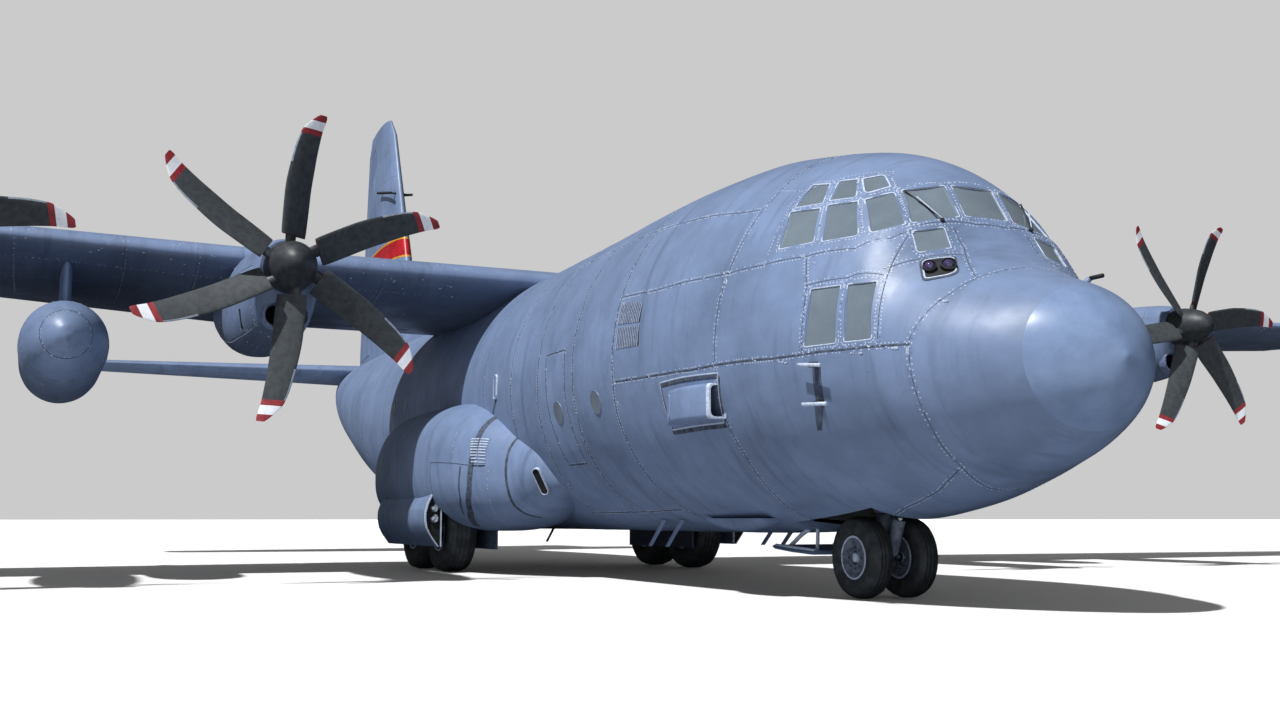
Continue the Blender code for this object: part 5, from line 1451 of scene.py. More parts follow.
def wheel_batch(radius, width, centre, grooves, count=72):
    """Tyre with grooves, dished hub with a chipped ring, cap and bolts; centre in model metres."""
    batch = Batch()
    half = width / 2
    rim = radius * 0.54
    tread = []
    spots = [half * 0.86 * (2 * (k + 1) / (grooves + 1) - 1) * 0.8 for k in range(grooves)]
    groove = 0.011
    for spot in spots:
        tread += [(spot - groove, 0.0), (spot - groove * 0.7, -0.014), (spot + groove * 0.7, -0.014),
                  (spot + groove, 0.0)]

    def crown(along):
        return radius * (1 - 0.055 * (abs(along) / half) ** 3)
    outer = [(crown(a) + d, a) for a, d in tread]
    shoulder = [(rim * 1.02, 0.82), (rim * 1.10, 0.93), (radius * 0.72, 0.995), (radius * 0.82, 1.0),
                (radius * 0.90, 0.95), (radius * 0.945, 0.86)]
    left = [(r, -share * half) for r, share in shoulder]
    right = [(r, share * half) for r, share in reversed(shoulder)]
    inner = [(rim * 0.96, half * 0.70), (rim * 0.96, -half * 0.70)]
    batch.add(turned(left + outer + right + inner, (0, 1, 0), centre, count, closed=True), 0)
    for way in (1, -1):
        dish = half - min(HUB_RECESS, 0.4 * half)
        face = [(0.0, dish - 0.02), (rim * 0.30, dish - 0.02), (rim * 0.34, dish + 0.012),
                (rim * 0.62, dish - 0.004), (rim * 0.70, dish + 0.002), (rim * 0.86, half * 0.80),
                (rim * 0.90, half * 0.86), (rim * 0.99, half * 0.86), (rim * 1.01, half * 0.80),
                (rim * 0.98, half * 0.3), (0.0, half * 0.3)]
        batch.add(turned(face, (0, way, 0), centre, count), 1)
        ring = [(rim * 0.90, half * 0.86), (rim * 0.91, half * 0.89), (rim * 0.98, half * 0.89),
                (rim * 0.99, half * 0.85), (rim * 0.95, half * 0.82)]
        batch.add(turned(ring, (0, way, 0), centre, count, closed=True), 2)
        cap = [(0.0, dish + 0.03), (rim * 0.12, dish + 0.028), (rim * 0.2, dish + 0.016),
               (rim * 0.24, dish - 0.02), (0.0, dish - 0.02)]
        batch.add(turned(cap, (0, way, 0), centre, 24), 2)
        for a in turns(8):
            reach = Vector((cos(a) * rim * 0.48, way * (dish + 0.004), sin(a) * rim * 0.48))
            batch.add(turned(BOLT, (0, way, 0), Vector(centre) + reach * MODEL_SCALE, 6), 3)
    return batch


def build_wheels():
    """Grooved tyres on dished hubs."""
    finishes = ["tyre_rubber", "hub_enamel", "bare_primer", "bright_steel"]
    for place_word, station in MAIN_WHEEL_STATIONS.items():
        for side, word in SIDES:
            name = "main_wheel_%s_%s" % (place_word, word)
            centre = place(station, side * MAIN_WHEEL_Y, MAIN_TYRE["radius"])
            wheel_batch(MAIN_TYRE["radius"], MAIN_TYRE["width"], centre, MAIN_TYRE["grooves"]).made(
                name + "_skin", finishes, body=name, instead=[name], finish="tyre", angle=40)
    batch = Batch()
    for side, _ in SIDES:
        centre = place(NOSE_STATION, side * NOSE_TYRE["offset"], NOSE_TYRE["radius"])
        batch.join(wheel_batch(NOSE_TYRE["radius"], NOSE_TYRE["width"], centre, NOSE_TYRE["grooves"]))
    low = place(NOSE_STATION, -NOSE_TYRE["offset"], NOSE_TYRE["radius"])
    batch.add(bar(low, low + Vector((0, NOSE_TYRE["offset"] * 2 * MODEL_SCALE, 0)), 0.05, 24), 3)
    batch.made("nose_wheels_skin", finishes, body="nose_wheels", instead=["nose_wheels"], finish="tyre",
               angle=40)


def dress_frame():
    """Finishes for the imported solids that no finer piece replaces."""
    finishes = {"cargo_floor": "well_primer", "cockpit_floor": "well_primer",
                "instrument_panel": "dial_panel", "nose_gear_bay": "well_primer", "nose_leg": "gear_enamel",
                "main_gear_leg_left": "gear_enamel", "main_gear_leg_right": "gear_enamel"}
    for name, finish in finishes.items():
        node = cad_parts[name]
        node.data.materials.clear()
        node.data.materials.append(bpy.data.materials[finish])


def build_windows():
    """Panes with their frames and the rivets round them."""
    glass, frames = Batch(), Batch()
    work = Seamwork(11)
    panes = [(way, corners, side) for _, way, corners in PANES for side, _ in SIDES]
    panes.append(("front", CENTRE_PANE, 1))
    for way, corners, side in panes:
        outline = rounded(corners, PANE_CORNER)
        middle = centre_of(outline)
        rings = []
        for share in (1.0, 0.66, 0.33):
            drawn = [tuple(middle + (Vector(c) - middle) * share) for c in outline]
            rings.append([HULL_SKIN.at(s, a, -0.006)[0] for s, a in outline_on_hull(way, drawn, side)])
        under = [HULL_SKIN.at(s, a, -0.013)[0] for s, a in outline_on_hull(way, outline, side)]
        glass.add(loft([under] + rings))
        profile = ((0.012, -0.0008), (0.010, 0.0012), (0.003, 0.0014), (0.0, 0.0006), (-0.001, -0.012),
                   (0.008, -0.012))
        ring_sets = []
        for margin, lift in profile:
            marks = outline_on_hull(way, widened(outline, margin), side)
            ring_sets.append([HULL_SKIN.at(s, a, lift)[0] for s, a in marks])
        frames.add(loft(ring_sets + ring_sets[:1], front=False, back=False))
        rows = widened(outline, 0.036)
        work.rivets(HULL_SKIN, outline_on_hull(way, rows + rows[:1], side), 0.040, bright=0.8)
    glass.made("window_panes", ["tinted_glass"], instead=["cockpit_glazing"], finish="glass", angle=50)
    frames.made("window_frames", ["bare_primer"], angle=50)
    work.made("window_rivets")


def around(line, side):
    """Line on a skin from stations and degrees that are given for the starboard side."""
    return [(s, radians(degrees if side < 0 else 180 - degrees)) for s, degrees in line]


def on_hull(mark, side, lift=0.0):
    """Point and normal of the fuselage skin at a station and its degrees on the starboard side."""
    return HULL_SKIN.at(*around([mark], side)[0], lift)


def build_seams():
    """Riveted joints of the skin, with the paint worn off beside them."""
    for side, word in SIDES:
        work = Seamwork(5 + side)
        for line in SIDE_SEAMS + RINGS:
            work.seam(HULL_SKIN, around(line, side), width=FAR_SEAM if line[0][0] > 6.0 else None)
        for line in RIVET_LINES:
            work.rivets(HULL_SKIN, around(line, side), 0.042, bright=0.85)
        work.seam(HULL_SKIN, around(BLANK_DOOR, side), rows=(1,), pitch=0.05, chips=3.0, width=FAR_SEAM)
        for station, degrees, length, width in WORN:
            for _ in range(6):
                mark = (station + work.dice.uniform(-0.4, 0.4) * length,
                        degrees + work.dice.uniform(-12, 12) * width)
                spot, normal = on_hull(mark, side)
                work.batch.add(chip(spot, Vector((1, 0, 0)), normal, min(length, 0.12) * MODEL_SCALE * 0.6,
                                    min(width, 0.08) * MODEL_SCALE * 0.7, work.dice), 1)
        work.made("fuselage_seams_" + word)
    work = Seamwork(8)
    for station in TAIL_RINGS:
        work.ring(HULL_SKIN, station, 48, pitch=0.09, chips=1.0)
    work.made("tail_ring_seams")
    joint = Seamwork(6)
    for side, _ in SIDES:
        joint.seam(HULL_SKIN, around(RADOME_JOINT, side), pitch=0.05)
    joint.made("radome_joint")


def plate(skin, corners, rise=0.0012, steps=6):
    """Thin solid on a skin between four corners given round its edge."""
    a, b, c, d = [Vector(corner) for corner in corners]
    rings = []
    for i in range(steps + 1):
        start, end = a.lerp(b, i / steps), d.lerp(c, i / steps)
        marks = [start.lerp(end, k / steps) for k in range(steps + 1)]
        rings.append([skin.at(mark.x, mark.y, rise)[0] for mark in marks]
                     + [skin.at(mark.x, mark.y, -0.002)[0] for mark in reversed(marks)])
    return loft(rings)


def opening(batch, centre, normal, way, half_length, half_width, rim=0.02, proud=0.012, depth=0.01,
            slots=(0, 1)):
    """Rolled rim round a long or round hole, with its floor; sizes are the real plane's."""
    across = normal.cross(way).normalized()
    way = across.cross(normal)

    def ring(grow, lift):
        made = []
        for k in range(32):
            a = 2 * pi * (k + 0.5) / 32
            x = cos(a) * (half_width + grow) + copysign(half_length - half_width, cos(a))
            made.append(centre + (way * x + across * sin(a) * (half_width + grow) + normal * lift) *
                        MODEL_SCALE)
        return made
    lip = [ring(rim, -0.02), ring(rim, proud * 0.5), ring(rim * 0.6, proud), ring(0.0, proud),
           ring(0.0, -0.02)]
    batch.add(loft(lip + lip[:1], front=False, back=False), slots[0])
    batch.add(loft([ring(0.002, -0.018), ring(0.002, -depth)]), slots[1])


def build_scoop():
    """Air scoop on the starboard cheek with its duct, its round outlet and the frame behind it."""
    low, high = SCOOP_HEIGHTS
    batch = Batch()

    def scoop_ring(station, rise, shrink):
        skin_at = abs(hull(station, hull_angle(station, (low + high) / 2, -1)).y) / MODEL_SCALE
        y, half = skin_at + rise, (high - low) / 2 - shrink
        middle, corner = (low + high) / 2, min(0.05, rise * 0.4 + 0.004)
        outer = [(y - shrink - corner * (1 - sin(a)), middle + way * (half - corner * (1 - cos(a))))
                 for way, steps in ((-1, (0, 1, 2, 3)), (1, (3, 2, 1, 0)))
                 for a in [pi * t / 6 for t in steps]]
        outline = [(skin_at - 0.05, middle - half)] + outer + [(skin_at - 0.05, middle + half)]
        return [place(station, -w, z) for w, z in outline]
    rings = [scoop_ring(s, smooth_value(SCOOP, s, 1), 0.0) for s in spaced(SCOOP[0][0], SCOOP[-1][0], 0.09)]
    mouth = [rings[0]] + [scoop_ring(*row) for row in SCOOP_MOUTH]
    batch.add(loft(rings, front=False), 0)
    batch.add(loft(mouth[:3], front=False, back=False), 1)
    # The inside of the mouth is near-black painted shade
    batch.add(loft(mouth[2:], front=False), 2)
    station, height = SCOOP_OUTLET
    skin_at = abs(hull(station, hull_angle(station, height, -1)).y) / MODEL_SCALE
    spot = place(station, -(skin_at + smooth_value(SCOOP, station, 1)), height)
    # The outlet's shallow floor is near-black painted shade
    opening(batch, spot, Vector((-0.26, -1, 0)).normalized(), Vector((0, 0, 1)), 0.13, 0.026, 0.008,
            slots=(0, 2))
    frame_line = side_line(SCOOP_FRAME + SCOOP_FRAME[:1], -1)
    batch.add(bead(HULL_SKIN.walk(frame_line, 0.03), 0.026, 0.0015), 3)
    edge_line = side_line([(s, z + 0.035) for s, z in SCOOP_FRAME + SCOOP_FRAME[:1]], -1)
    batch.add(bead(HULL_SKIN.walk(edge_line, 0.03), 0.008, 0.002), 1)
    batch.made("air_scoop", ["hull_enamel", "bare_primer", "dark_duct", "joint_sealant"], angle=50)


def build_grilles():
    """Slatted grilles, round windows and the long port on each side."""
    batch = Batch()
    for side, _ in SIDES:
        for a, b, c, d in [around(corners, side) for corners in GRILLES]:
            # The plate behind the slats is near-black painted shade
            batch.add(plate(HULL_SKIN, (a, b, c, d), 0.0008), 0)
            for k in range(13):
                t = (k + 0.5) / 13
                top = Vector(a).lerp(Vector(b), min(1.0, t + 0.02))
                foot = Vector(d).lerp(Vector(c), max(0.0, t - 0.02))
                stops = HULL_SKIN.walk([tuple(top), tuple(foot)], 0.04)
                batch.add(bead(stops, 0.012, 0.004), 5)
                batch.add(bead(stops, 0.004, 0.006), 1)
        for station, degrees in ROUND_WINDOWS:
            spot, normal = on_hull((station, degrees), side)
            opening(batch, spot, normal, Vector((1, 0, 0)), ROUND_WINDOW, ROUND_WINDOW, 0.007, 0.005, -0.004,
                    (5, 2))
        spot, normal = on_hull(SIDE_PORT, side)
        opening(batch, spot, normal, Vector((0, 0, 1)), 0.18, 0.06, 0.012, 0.02, -0.01, (1, 3))
        # Dark stain under the fairing
        batch.add(plate(HULL_SKIN, around(PORT_STAIN, side), 0.0006), 4)
    batch.made("side_grilles", ["dark_duct", "bare_primer", "tinted_glass", "hull_enamel", "stain",
                                "painted_rivet"],
               angle=50)


def build_sensor_box():
    """Dark panel with two lenses under the starboard screen."""
    batch = Batch()
    batch.add(plate(HULL_SKIN, side_line(SENSOR_BOX, -1), 0.001), 0)
    middle = centre_of(SENSOR_BOX)
    for width, rise, grow, slot in ((0.010, 0.007, 1.0, 1), (0.012, 0.003, 1.12, 2)):
        grown = rounded([tuple(middle + (Vector(c) - middle) * grow) for c in SENSOR_BOX], 0.05)
        batch.add(bead(HULL_SKIN.walk(side_line(grown + grown[:2], -1), 0.012), width, rise), slot)
    for station, height, radius in LENSES:
        spot, normal = HULL_SKIN.at(*side_line([(station, height)], -1)[0])
        axis = (normal + Vector((0.35, -0.2, 0.0))).normalized()
        batch.add(turned([(0, -0.03), (radius, -0.03), (radius, 0.05), (radius * 0.84, 0.055),
                          (radius * 0.8, 0.03), (0, 0.02)], axis, spot, 32), 0)
        glass = [(0, 0.02), (radius * 0.8, 0.02), (radius * 0.7, 0.05), (radius * 0.4, 0.068), (0, 0.074)]
        batch.add(turned(glass, axis, spot, 32), 3)
    batch.made("sensor_box", ["black_rubber", "bare_primer", "joint_sealant", "dark_lens"], angle=50)


def build_probes():
    """Air data probes, wipers, aerials and the long fairings under the nose."""
    batch = Batch()
    for side, _ in SIDES:
        # Air data probes: a pale tube on a short mast, and the soot between them
        for aft, fore, degrees in PROBES:
            start = on_hull((aft, degrees), side, 0.05)[0]
            end = on_hull((fore, degrees), side, 0.06)[0]
            root, normal = on_hull(((aft + fore) / 2, degrees), side)
            batch.add(bar(start, end, 0.019), 0)
            batch.add(bar(root - normal * 0.004, root + normal * 0.056, 0.028), 1)
        for corners in PROBE_STAINS:
            batch.add(plate(HULL_SKIN, around(corners, side), 0.0006), 2)
        # Wipers: blade, arm and pivot
        foot = on_hull(WIPER["foot"], side, 0.012)[0]
        tip = on_hull(WIPER["tip"], side, 0.004)[0]
        middle = on_hull(WIPER["middle"], side, 0.014)[0]
        batch.add(bar(foot, tip, 0.009, 8), 1)
        batch.add(bar(foot, middle, 0.007, 8), 0)
        batch.add(bar(foot - on_hull(WIPER["foot"], side)[1] * 0.014, foot, 0.022, 12), 1)
        # Two swept blade aerials under the belly
        for station in BLADE_AERIALS:
            root = [place(s, side * (0.87 + w), 0.84) for s, w in
                    ((station + 0.07, 0), (station, 0.014), (station - 0.07, 0), (station, -0.014))]
            tip = [place(s, side * (0.87 + w), 0.49) for s, w in
                   ((station + 0.51, 0), (station + 0.45, 0.008), (station + 0.39, 0),
                    (station + 0.45, -0.008))]
            batch.add(loft([root, tip]), 3)
        # Long fairing beside the keel
        size, rings = KEEL_FAIRING, []
        for k, s in enumerate(spaced(size["start"], size["end"], 0.14)):
            reach = sin(pi * (k + 0.4) / 10.8) ** 0.5
            rings.append([place(s, side * (size["span"] + size["radius"] * cos(a)),
                                size["height"] - size["radius"] * reach * max(0.0, sin(a)))
                          for a in [pi * t / 10 for t in range(11)]])
        batch.add(loft(rings), 3)
    # Probe ahead of the port screen, the crown aerial and the rod aerial ahead of the sponson
    spot, normal = HULL_SKIN.at(1.42, radians(50))
    batch.add(bar(spot - normal * 0.01, spot + normal * 0.05, 0.03), 3)
    batch.add(bar(spot + normal * 0.05, spot + normal * 0.05 + Vector((0.09, 0, 0)), 0.022), 1)
    foot = CROWN_AERIAL_FOOT
    ridge = [[place(s, w, z) for w, z in ((-0.05, foot), (-0.02, foot + h), (0.02, foot + h), (0.05, foot))]
             for s, h in CROWN_AERIAL]
    batch.add(loft(ridge), 3)
    batch.add(bar(place(11.06, -1.0, 0.76), place(11.43, -1.0, 0.50), 0.018), 1)
    batch.made("probes_and_aerials", ["bare_primer", "black_rubber", "stain", "hull_enamel"], angle=50)


def build_sponson_marks():
    """Bands, rivets, louvre and intake of each sponson."""
    batch = Batch()
    work = Seamwork(8)
    for side, _ in SIDES:
        skin = sponson(side)
        for width, line in SPONSON_BANDS:
            stops = skin.walk([(s, radians(a)) for s, a in line], 0.04)
            batch.add(bead(stops, width * MODEL_SCALE, 0.0018), 0)
        for line in SPONSON_RIVETS:
            work.rivets(skin, [(s, radians(a)) for s, a in line], 0.05)
        a, b, c, d = [(s, radians(t)) for s, t in SPONSON_LOUVRE]
        for near, far in ((0.0, 0.46), (0.54, 1.0)):
            for k in range(9):
                t = (k + 0.5) / 9
                start = Vector(a).lerp(Vector(d), t)
                end = Vector(b).lerp(Vector(c), t)
                slat = [tuple(start.lerp(end, near)), tuple(start.lerp(end, far))]
                batch.add(bead(skin.walk(slat, 0.04), 0.011, 0.005), 1)
                # Below each slat, a dark bead of painted shade
                batch.add(bead(skin.walk([(s, v - 0.045) for s, v in slat], 0.04), 0.009, 0.002), 2)
        top = skin.at(SPONSON_INTAKE["top"][0], radians(SPONSON_INTAKE["top"][1]))[0]
        foot = skin.at(SPONSON_INTAKE["bottom"][0], radians(SPONSON_INTAKE["bottom"][1]))[0]
        spot, normal = skin.at(SPONSON_INTAKE["top"][0], radians(-26))
        # Intake with a pale rim and a floor of near-black painted shade
        opening(batch, spot - normal * 0.004, normal, top - foot, (top - foot).length / 2 / MODEL_SCALE,
                SPONSON_INTAKE["half_width"], 0.012, 0.045, -0.03, (1, 2))
        # Inner door strip that hangs beside the wheels, dark with painted shade from the sponson above it
        size = DOOR_STRIP
        low, high = sorted((side * size["inner"], side * size["outer"]))
        batch.add(side_box(size["start"], size["end"], low, high, size["bottom"], size["top"]), 3)
    batch.made("sponson_marks", ["joint_sealant", "bare_primer", "dark_duct", "stain"], angle=50)
    work.made("sponson_rivets")


def build_camera():
    """Camera low ahead of the starboard bow, as in the photograph."""
    data = bpy.data.cameras.new("view")
    data.lens = CAMERA["lens"]
    data.sensor_width = 36.0
    data.clip_end = 2000.0
    camera = bpy.data.objects.new("view", data)
    bpy.context.scene.collection.objects.link(camera)
    yaw, pitch = CAMERA["yaw"], CAMERA["pitch"]
    look = Vector((-cos(yaw) * cos(pitch), sin(yaw) * cos(pitch), sin(pitch)))
    camera.location = CAMERA["spot"]
    camera.rotation_euler = look.to_track_quat("-Z", "Y").to_euler()
    bpy.context.scene.camera = camera


def lamp(name, strength, spread, way, colour=(1.0, 1.0, 1.0)):
    """Distant light of an angular size in degrees that shines along a direction."""
    data = bpy.data.lights.new(name, "SUN")
    data.energy = strength
    data.color = colour
    data.angle = radians(spread)
    made = bpy.data.objects.new(name, data)
    bpy.context.scene.collection.objects.link(made)
    made.rotation_euler = Vector(way).to_track_quat("-Z", "Y").to_euler()
    return made


def build_stage():
    """Pale floor, grey backdrop, a high key light and soft fill."""
    look = bpy.context.scene.plane_stage
    half = look.floor_half
    floor = piece("floor", [(-half, -half, 0), (half, -half, 0), (half, half, 0), (-half, half, 0)],
                  [(0, 1, 2, 3)], [], body=None)
    pale, tree, shader = new_material("pale_floor", look.floor_colour, 0.9)
    where = add(tree, "ShaderNodeTexCoord").outputs["Object"]
    tone = ramp(tree, noise(tree, where, 0.4, 4.0), 0.0, 1.0, 0.86, 0.94)
    tree.links.new(tone, shader.inputs["Roughness"])
    floor.data.materials.append(pale)
    # The white floor would wash out the plane's underside, so a darker unseen one throws the light back
    floor.visible_diffuse = False
    floor.visible_glossy = False
    half = look.bounce_half
    bounce = piece("bounce_floor", [(-half, -half, 0.002), (half, -half, 0.002), (half, half, 0.002),
                                    (-half, half, 0.002)], [(0, 1, 2, 3)], [], body=None)
    bounce.data.materials.append(new_material("bounce_grey", look.bounce_colour, 0.9)[0])
    bounce.visible_camera = False
    bounce.visible_glossy = False
    bounce.visible_shadow = False
    bounce.visible_transmission = False

    world = bpy.data.worlds.new("backdrop")
    bpy.context.scene.world = world
    world.use_nodes = True
    world.node_tree.nodes["Background"].inputs["Color"].default_value = look.backdrop
    world.cycles_visibility.diffuse = False
    world.cycles_visibility.glossy = False
    lamp("key", look.sun_strength, 1.5, SUN_WAY)
    lamp("sky_fill", look.fill_strength * 0.25, 170.0, (0.1, 0.2, -1.0))
    lamp("front_fill", look.fill_strength, 90.0, (-1.0, 0.28, 0.05), (0.92, 0.96, 1.0))
    # The floor's shadows are soft and grey, so one lamp lights the floor alone
    lit = bpy.data.collections.new("floor_only")
    lit.objects.link(floor)
    lamp("floor_fill", look.floor_fill, 175.0, (0.0, 0.0, -1.0)).light_linking.receiver_collection = lit
    bpy.context.scene.view_settings.view_transform = "Standard"


def section_skin(table, side=1, incidence=0.0, upright=False):
    """Skin of a wing or tail by span and chord fraction, which is below zero on the lower face."""
    def spot(span, t):
        row = table_row(table, span)
        station, height = section_point(row, copysign(max(abs(t), 0.0005), t), incidence)
        return place(station, height, span) if upright else place(station, side * span, height)

    def inside(span):
        row = table_row(table, span)
        height = row[3] - 0.15 * row[2] * sin(incidence)
        station = row[1] + 0.4 * row[2]
        return place(station, height, span) if upright else place(station, side * span, height)
    return Skin(spot, inside, dv=0.004)


def build_wing_marks():
    """Joints, worn leading edge and static wicks of the wing and tail, and the stripe and homing aerial on
    the fin.
    """
    work, extras = Seamwork(21), Batch()
    for side, _ in SIDES:
        skin = section_skin(WING, side, INCIDENCE)
        for t in WING_LINES:
            work.seam(skin, [(span, t) for span in spaced(2.3, 19.8, 2.5)], rows=(1,), pitch=0.09,
                      chips=2.5 if abs(t) < 0.2 else 0.6)
        for span in WING_JOINTS:
            for way in (1, -1):
                work.seam(skin, [(span, way * t) for t in (0.004, 0.02, 0.06, 0.14, 0.3, 0.5, 0.68)],
                          rows=(1,), pitch=0.09, chips=1.5)
        # Worn leading edge: flakes of bare metal along the first tenth of the chord
        for _ in range(150):
            span, t = work.dice.uniform(2.4, 19.8), work.dice.gauss(0.0, 0.02)
            mark, normal = skin.at(span, t)
            size = work.dice.uniform(0.008, 0.03)
            work.batch.add(chip(mark, Vector((0, 1, 0)), normal, size, size * 0.4, work.dice), 1)
        for span in WICK_SPANS:
            row = table_row(WING, span)
            tail = Vector(place(row[1] + row[2] * 0.985, side * span,
                                section_point(row, 0.985, INCIDENCE)[1]))
            extras.add(bar(tail, tail + Vector((-0.13, 0, 0.008)), 0.009, 6), 0)
        tail = section_skin(TAILPLANE, side)
        for t in (0.12, -0.12):
            work.seam(tail, [(span, t) for span in spaced(1.0, 7.8, 1.7)], rows=(1,), pitch=0.12, chips=1.0)
    fin = section_skin(FIN, upright=True)
    for t in FIN_LINES:
        work.seam(fin, [(span, t) for span in spaced(6.4, 11.4, 1.0)], rows=(1,), pitch=0.09, chips=2.0)
    for height in FIN_JOINTS:
        for way in (1, -1):
            work.seam(fin, [(height, way * t) for t in (0.01, 0.05, 0.15, 0.35, 0.63)], rows=(1,), pitch=0.09)
    # Stripe bands that wrap the leading edge, closer together there where the skin turns fast
    for low, high, slot in STRIPE:
        shares = [0.64 * (k / 28) * abs(k / 28) for k in range(-28, 29)]
        rings = [[fin.at(low, t, 0.0016)[0], fin.at(high, t, 0.0016)[0], fin.at(high, t, -0.003)[0],
                  fin.at(low, t, -0.003)[0]] for t in shares]
        extras.add(loft(rings), slot)
    # Homing aerial on each face of the fin
    for way in (1, -1):
        for station, height in HOMING_STRUTS:
            extras.add(bar(place(station, way * 0.05, height), place(station, way * 0.285, height), 0.025), 0)
        extras.add(bar(*[place(s, way * y, z) for s, y, z in HOMING_BAR], 0.035), 0)
    work.made("wing_and_tail_joints")
    extras.made("wicks_stripe_aerials", ["black_rubber", "stripe_red", "stripe_yellow"], angle=50)


def build_engine_marks():
    """Joints and slots of the nacelles and the rings of the tanks."""
    work, extras = Seamwork(31), Batch()
    for _, y, shaft in ENGINES:
        side = 1 if y > 0 else -1

        def spot(station, angle):
            half, top, bottom, square = nacelle_row(station)
            middle = shaft + (top + bottom) / 2
            return oval_point(station, y, middle, half, (top - bottom) / 2, angle, square)
        skin = Skin(spot, lambda s: place(s, y, shaft + sum(nacelle_row(s)[1:3]) / 2))
        for station in COWLING_JOINTS:
            work.ring(skin, station, 40, pitch=0.07, chips=3.0)
        for degrees in COWLING_LINES:
            work.seam(skin, [(s, radians(degrees)) for s in spaced(9.45, 13.4, 0.4)], rows=(1,), pitch=0.07,
                      chips=2.0)
        mark, normal = skin.at(10.15, radians(-22 if side > 0 else 202))
        # Slot in the cowling, rim and floor in near-black painted shade
        opening(extras, mark, normal, Vector((0.25, 0, 1)), 0.14, 0.034, 0.004, 0.003, -0.002, (1, 1))
    size = TANK
    shape = TANK_SHAPE[1:-1]
    for side, _ in SIDES:
        y = side * size["span"]

        def tank_spot(station, angle):
            share = max(0.0, min(1.0, (station - size["start"]) / size["length"]))
            radius = smooth_value(shape, share, 1) * size["radius"]
            return place(station, y + radius * cos(angle), size["height"] + radius * sin(angle))
        skin = Skin(tank_spot, lambda s: place(s, y, size["height"]))
        for share, chips in TANK_RINGS:
            work.ring(skin, size["start"] + share * size["length"], 40, pitch=0.06, chips=chips)
    work.made("nacelle_and_tank_joints")
    extras.made("nacelle_slots", ["bare_primer", "dark_duct"], angle=50)


def build_gear_parts():
    """Nose gear door with its links, and the leg's drag link and steering collar."""
    batch = Batch()
    rings = [[place(s, y, z) for y, z in ((-0.42, low), (0.42, low), (0.44, low + 0.02), (0.42, low + 0.04),
                                          (-0.42, low + 0.04), (-0.44, low + 0.02))] for s, low in NOSE_DOOR]
    batch.add(loft(rings), 0)
    for distance, links in DOOR_LINKS.items():
        for y in (-distance, distance):
            for start, end, radius in links:
                batch.add(bar(place(start[0], y, start[1]), place(end[0], y, end[1]), radius), 1)
    batch.made("nose_gear_door_skin", ["hull_enamel", "bare_primer"], instead=["nose_gear_door"], angle=50)

    batch = Batch()
    axle = place(NOSE_STATION, 0.0, NOSE_TYRE["radius"])
    batch.add(bar(place(3.36, 0.0, 0.86), place(3.52, 0.0, 0.47), 0.072), 0)
    batch.add(bar(place(3.36, -0.05, 0.86), place(3.36, 0.05, 0.86), 0.06), 1)
    batch.add(turned([(0.0, 0.09), (0.085, 0.09), (0.10, 0.06), (0.10, -0.10), (0.0, -0.10)], (0, 0, 1), axle,
                     24), 0)
    batch.add(bar(axle, place(NOSE_STATION, 0.0, 0.91), 0.072, 20), 1)
    batch.add(bar(place(NOSE_STATION, 0.0, 0.70), place(NOSE_STATION, 0.0, 0.91), 0.092, 20), 0)
    batch.made("nose_steering_skin", ["gear_enamel", "bright_steel"], body="nose_steering",
               instead=["nose_steering"], finish="steel", angle=50)


def cushion(name, middle, half):
    """Crowned pad with its edges drawn in, from a fine grid pushed out of a box."""
    points, faces, count = [], [], 14
    for i in range(count + 1):
        polar = pi * i / count
        for k in range(2 * count):
            turn = pi * k / count
            unit = (sin(polar) * cos(turn), sin(polar) * sin(turn), cos(polar))
            shaped = [signed_power(u, p) for u, p in zip(unit, (0.42, 0.42, 0.75))]
            points.append(middle + Vector([h * u for h, u in zip(half, shaped)]) * MODEL_SCALE)
    for i in range(count):
        for k in range(2 * count):
            j = (k + 1) % (2 * count)
            faces.append((i * 2 * count + k, i * 2 * count + j, (i + 1) * 2 * count + j,
                          (i + 1) * 2 * count + k))
    made = piece(name, points, faces, ["seat_cloth"], body=None)
    bm = bmesh.new()
    bm.from_mesh(made.data)
    bmesh.ops.remove_doubles(bm, verts=bm.verts, dist=0.0002)
    bm.to_mesh(made.data)
    bm.free()
    settle(made, 60)
    return made


def build_cabin():
    """Two pilots' seats with cushions, and the instrument panel with its dials."""
    for side, word in SIDES:
        y = side * SEAT_SIDE
        seat = Batch()
        seat.add(side_box(2.66, 3.08, y - 0.22, y + 0.22, 2.62, 2.655), 0)
        seat.add(side_box(3.10, 3.135, y - 0.22, y + 0.22, 2.62, 3.60), 0)
        for offset in (-0.20, 0.20):
            seat.add(bar(place(2.74, y + offset, 2.31), place(2.74, y + offset, 2.64), 0.018), 1)
            seat.add(bar(place(3.08, y + offset, 2.31), place(3.08, y + offset, 2.64), 0.018), 1)
            seat.add(bar(place(2.72, y + offset, 2.88), place(3.12, y + offset, 2.90), 0.022), 1)
        seat.made("seat_shell_" + word, ["gear_enamel", "bright_steel"], instead=["pilot_seat_" + word],
                  finish="fabric")
        for part, station, height, half in CUSHIONS:
            pad = cushion("%s_cushion_%s" % (part, word), place(station, y, height), half)
            mount(pad, ROOT, ())
    dials = Batch()
    for row in range(3):
        for k in range(9):
            spot = place(2.335, DIALS["y"] + DIALS["across"] * k, DIALS["z"] + DIALS["up"] * row)
            dials.add(turned(DIAL, (-1, 0, 0), spot, 20))
    dials.made("panel_dials", ["bright_steel"])


class PLANE_OT_stage(bpy.types.Operator):
    """Make the floor, the backdrop, the lights and the camera"""
    bl_idname = "plane.stage"
    bl_label = "Stage and camera"

    def execute(self, context):
        build_camera()
        build_stage()
        return {"FINISHED"}


